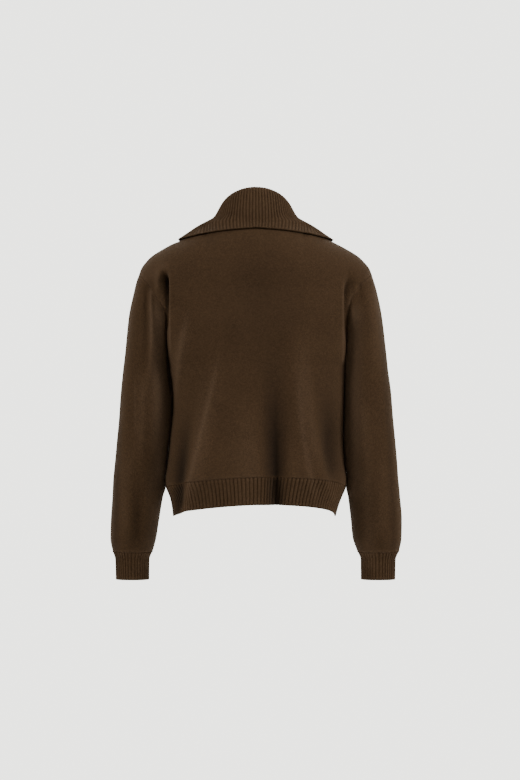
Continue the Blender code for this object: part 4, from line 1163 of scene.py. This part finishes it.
def makeCuff(side):
    count = cuff["ribs"] * cuff["pointsPerRib"]
    rows = np.linspace(arm["cuffEdge"], arm["cuffSeam"], cuff["rows"] + 1)
    turn, z = np.meshgrid(2.0 * np.pi * np.arange(count) / count, rows)
    base = armPoint(side, turn, z)
    normals = sideSign[side] * surfaceNormals(lambda a, b: armPoint(side, a, b), turn, z,
                                              cuff["turnLimits"], (rows[0], rows[-1]))
    ribShare = np.arange(count) / cuff["pointsPerRib"]
    inner = base - normals * (cuff["relief"] + cuff["wall"])
    step = cuff["innerStep"]
    mesh = clothWall("cuff", base, inner, True, step)
    addKnitMap(mesh, bothWalls(lengthsAlong(base, 1), step),
               bothWalls(lengthsAlong(base, 0), step), bothWalls(lengthRound(base), step))
    nearEdge = nearRow(len(rows), 0, cuff["edgeReach"])
    mesh = addRibs(mesh, ribShare, normals * (1.0 - cuff["edgeShare"] * nearEdge),
                   armShade(side, base, np.ones(z.shape)), cuff)
    return finishPiece("cuff_knit_" + side, mesh, ribKnit, ["cuff_" + side])


def makeCollar():
    stops = np.interp(np.linspace(0, 1, collar["rows"] + 1),
                      np.linspace(0, 1, len(collar["stops"])), collar["stops"])
    base = collarRows(stops, collar["ribs"], collar["pointsPerRib"])
    normals = ringNormals(base)
    ribShare = np.arange(base.shape[1]) / collar["pointsPerRib"]
    step = collar["innerStep"]
    mesh = clothWall("collar", base + normals * collar["relief"],
                     base - normals * collar["wall"], True, step)
    across = np.broadcast_to(ribShare * collar["ribPitch"], base.shape[:2])
    around = np.full(across.shape, collar["ribs"] * collar["ribPitch"])
    addKnitMap(mesh, bothWalls(across, step), bothWalls(lengthsAlong(base, 0), step),
               bothWalls(around, step))
    foldRow = np.argmin(np.abs(stops - collar["lines"]["fold"]))
    for row, reach in ((foldRow, collar["foldReach"]), (len(stops) - 1, collar["edgeReach"])):
        normals = normals * (1.0 - collar["foldShare"] * nearRow(len(stops), row, reach))
    # painted sheen, lighter from the neck seam over the fold and fading out down the fall
    fallen = ease((stops - collar["neckPaintedSheenEnd"]) / collar["neckPaintedSheenFade"])
    neck = collar["neckPaintedSheen"] * (1.0 - fallen)
    mesh = addRibs(mesh, ribShare, normals, np.tile(neck[:, None], (1, base.shape[1])), collar)
    return finishPiece("collar_knit", mesh, ribKnit, ["collar"])


seams = dict(
    spacing=2.1, length=2.6, thickness=0.75, slant=0.45, unevenness=0.5, lift=0.12, seed=9,
    joinSpacing=1.7, joinSlant=1.2,             # where a rib joins plain knit
    armholeSamples=601, sideSamples=160, shoulderSamples=120, cuffSamples=241, hemSamples=501,
    marks=7, markFrom=0.20, markTo=0.33, markInset=0.035, markInsets=(1.0, 1.6),
    markDowns=(0.012, 0.022), markSpacing=4.0, markLength=3.6, markThickness=1.3,
)


def stitchRow(name, lines, material=seamYarn, **changes):
    # lines are points and outward directions, a pair for each row of stitches
    sizes = {**seams, **changes}
    points = np.concatenate([line + normal * sizes["lift"] for line, normal in lines])
    outward = np.concatenate([normal for _, normal in lines])
    edges = []
    start = 0
    for line, _ in lines:
        edges += [(start + k, start + k + 1) for k in range(len(line) - 1)]
        start += len(line)
    path = bpy.data.meshes.new(name)
    path.from_pydata((points * mm).tolist(), edges, [])
    path.attributes.new("outward", "FLOAT_VECTOR", "POINT").data.foreach_set(
        "vector", outward.astype(np.float32).ravel())
    mesh = shaped(path, stitchTree, {
        "Spacing": sizes["spacing"] * mm, "Length": sizes["length"] * mm,
        "Thickness": sizes["thickness"] * mm, "Slant": sizes["slant"],
        "Unevenness": sizes["unevenness"], "Seed": sizes["seed"], "Material": material})
    mesh.shade_smooth()
    piece = bpy.data.objects.new(name, mesh)
    bpy.context.scene.collection.objects.link(piece)
    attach(piece, "root")
    return piece


def fashioningMarks(side):
    # raised stitches on both sides of the armhole seam, behind and in front
    marks = []
    for half in np.linspace(seams["markFrom"], seams["markTo"], seams["marks"]):
        level = np.interp(half, (arm["yokeShare"], 0.5), (body["yokeLine"], body["underarm"]))
        columns = sideSign[side] * (1.0 - seams["markInset"] * np.array(seams["markInsets"]))
        heights = np.array((level, level + seams["markSpacing"]))
        for face in ("back", "front"):
            marks.append((bodyPoint(face, columns, heights), bodyNormals(face, columns, heights)))
            shares = np.full(2, half if face == "back" else 1.0 - half)
            line = sleevePoint(side, shares, np.array(seams["markDowns"]))
            marks.append((line, np.broadcast_to(armhole(side, shares)[1][:1], line.shape)))
    return marks


def makeSeams(side):
    point, normal, _ = armhole(side, np.linspace(0.0, 1.0, seams["armholeSamples"]))
    stitchRow("armhole_stitches_" + side, [(point, normal)])
    stitchRow("fashioning_marks_" + side, fashioningMarks(side), markYarn,
              spacing=seams["markSpacing"], length=seams["markLength"],
              thickness=seams["markThickness"])
    height = np.linspace(body["hemSeam"], body["underarm"], seams["sideSamples"])
    sideLine = bodyPoint("back", np.full(height.shape, sideSign[side]), height)
    sideways = np.broadcast_to((sideSign[side], 0.0, 0.0), sideLine.shape)
    out = sideSign[side] * np.linspace(body["neckShare"], 1.0, seams["shoulderSamples"])
    shoulder = bodyPoint("back", out, np.full(out.shape, body["yokeLine"] + body["yokeTurn"]))
    upward = unit(np.cross(np.gradient(shoulder, axis=0), (0.0, sideSign[side], 0.0)))
    upward = upward * np.sign(upward[:, 2:])
    stitchRow("side_stitches_" + side, [(sideLine, sideways), (shoulder, upward)])
    turn = np.linspace(0.0, 2.0 * np.pi, seams["cuffSamples"])
    ring = armPoint(side, turn, np.full(turn.shape, arm["cuffSeam"]))
    away = unit(xyz(sideSign[side] * np.cos(turn), np.sin(turn), 0.0))
    stitchRow("cuff_stitches_" + side, [(ring, away)],
              slant=seams["joinSlant"], spacing=seams["joinSpacing"])


def makeHemSeam():
    column = np.linspace(-1.0, 1.0, seams["hemSamples"])
    height = np.full(column.shape, body["hemSeam"])
    lines = [(bodyPoint(face, column, height), bodyNormals(face, column, height))
             for face in ("back", "front")]
    stitchRow("hem_stitches", lines, slant=seams["joinSlant"], spacing=seams["joinSpacing"])


for face in ("back", "front"):
    makePanel(face)
print("panels made")
for side in ("left", "right"):
    makeSleeve(side)
print("sleeves made")
makeHemRib("back")
makeHemRib("front")
for side in ("left", "right"):
    makeCuff(side)
makeCollar()
print("ribs made")
for side in ("left", "right"):
    makeSeams(side)
makeHemSeam()
print("seams stitched")


# Studio

studio = dict(
    # how bright the room is: all round, more from above, and the pale wall behind the
    # garment, with the directions between which the last two grow
    tint=(1.0, 1.0, 0.945), room=0.38, above=0.6, wall=2.68,
    aboveFrom=0.15, aboveTo=0.9, wallFrom=0.35, wallTo=0.85,
    floorZ=-1.45, floorRadius=2.4, floorPoints=96, floorColour=(0.8, 0.8, 0.79),
    floorRoughness=0.9,
    lampTarget=(0.0, 0.0, -0.35),
    keyPlace=(-2.9, 1.35, 1.35), keySize=1.3, keyPower=183.0,
    fillPlace=(2.8, 1.8, 1.5), fillSize=1.5, fillPower=150.0,
)
world = bpy.data.worlds.new("studio")
bpy.context.scene.world = world
world.use_nodes = True
background = world.node_tree.nodes["Background"]
background.inputs["Color"].default_value = (*studio["tint"], 1.0)
roomGraph = Graph(world.node_tree)
direction = roomGraph.add("ShaderNodeSeparateXYZ", None, {
    "Vector": roomGraph.add("ShaderNodeTexCoord").outputs["Generated"]})


def softStep(number, low, high):
    return roomGraph.value("ShaderNodeMapRange", "Result", {"interpolation_type": "SMOOTHSTEP"},
                           {"Value": number, "From Min": low, "From Max": high})


upward = softStep(Value(roomGraph, direction.outputs["Z"]),
                  studio["aboveFrom"], studio["aboveTo"])
behind = softStep(-Value(roomGraph, direction.outputs["Y"]),
                  studio["wallFrom"], studio["wallTo"])
brightness = upward * studio["above"] + behind * studio["wall"] + studio["room"]
world.node_tree.links.new(brightness.socket, background.inputs["Strength"])


def areaLight(name):
    light = bpy.data.lights.new(name, "AREA")
    light.shape = "DISK"
    light.size = studio[name + "Size"]
    light.energy = studio[name + "Power"]
    lamp = bpy.data.objects.new(name, light)
    lamp.location = studio[name + "Place"]
    aim = Vector(studio["lampTarget"]) - lamp.location
    lamp.rotation_euler = aim.to_track_quat("-Z", "Y").to_euler()
    bpy.context.scene.collection.objects.link(lamp)


areaLight("key")
areaLight("fill")

working = bmesh.new()
bmesh.ops.create_circle(working, cap_ends=True, segments=studio["floorPoints"],
                        radius=studio["floorRadius"])
floorMesh = bpy.data.meshes.new("floor")
bmesh.ops.translate(working, vec=(0.0, 0.0, studio["floorZ"]), verts=working.verts)
working.to_mesh(floorMesh)
working.free()
floor = bpy.data.objects.new("floor", floorMesh)
bpy.context.scene.collection.objects.link(floor)
paper = bpy.data.materials.new("pale_floor")
paper.use_nodes = True
paperShader = paper.node_tree.nodes["Principled BSDF"]
paperShader.inputs["Base Color"].default_value = (*studio["floorColour"], 1.0)
paperShader.inputs["Roughness"].default_value = studio["floorRoughness"]
floorMesh.materials.append(paper)
floor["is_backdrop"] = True

# The photo's camera, in metres but for the sensor, which is in millimetres.
view = dict(distance=4.5, x=-0.0077, z=-0.306, frameHeight=1.404, sensor=24.0)
camera = bpy.data.cameras.new("camera")
camera.sensor_fit = "VERTICAL"
camera.sensor_height = view["sensor"]
camera.lens = view["sensor"] * view["distance"] / view["frameHeight"]
cameraObject = bpy.data.objects.new("camera", camera)
cameraObject.location = (view["x"], view["distance"], view["z"])
cameraObject.rotation_euler = (math.pi / 2, 0.0, math.pi)
bpy.context.scene.collection.objects.link(cameraObject)
bpy.context.scene.camera = cameraObject
print("studio and camera made")

triangles = sum(len(p.vertices) - 2 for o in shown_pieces() if o.type == "MESH"
                for p in o.data.polygons)
print("triangles:", triangles)
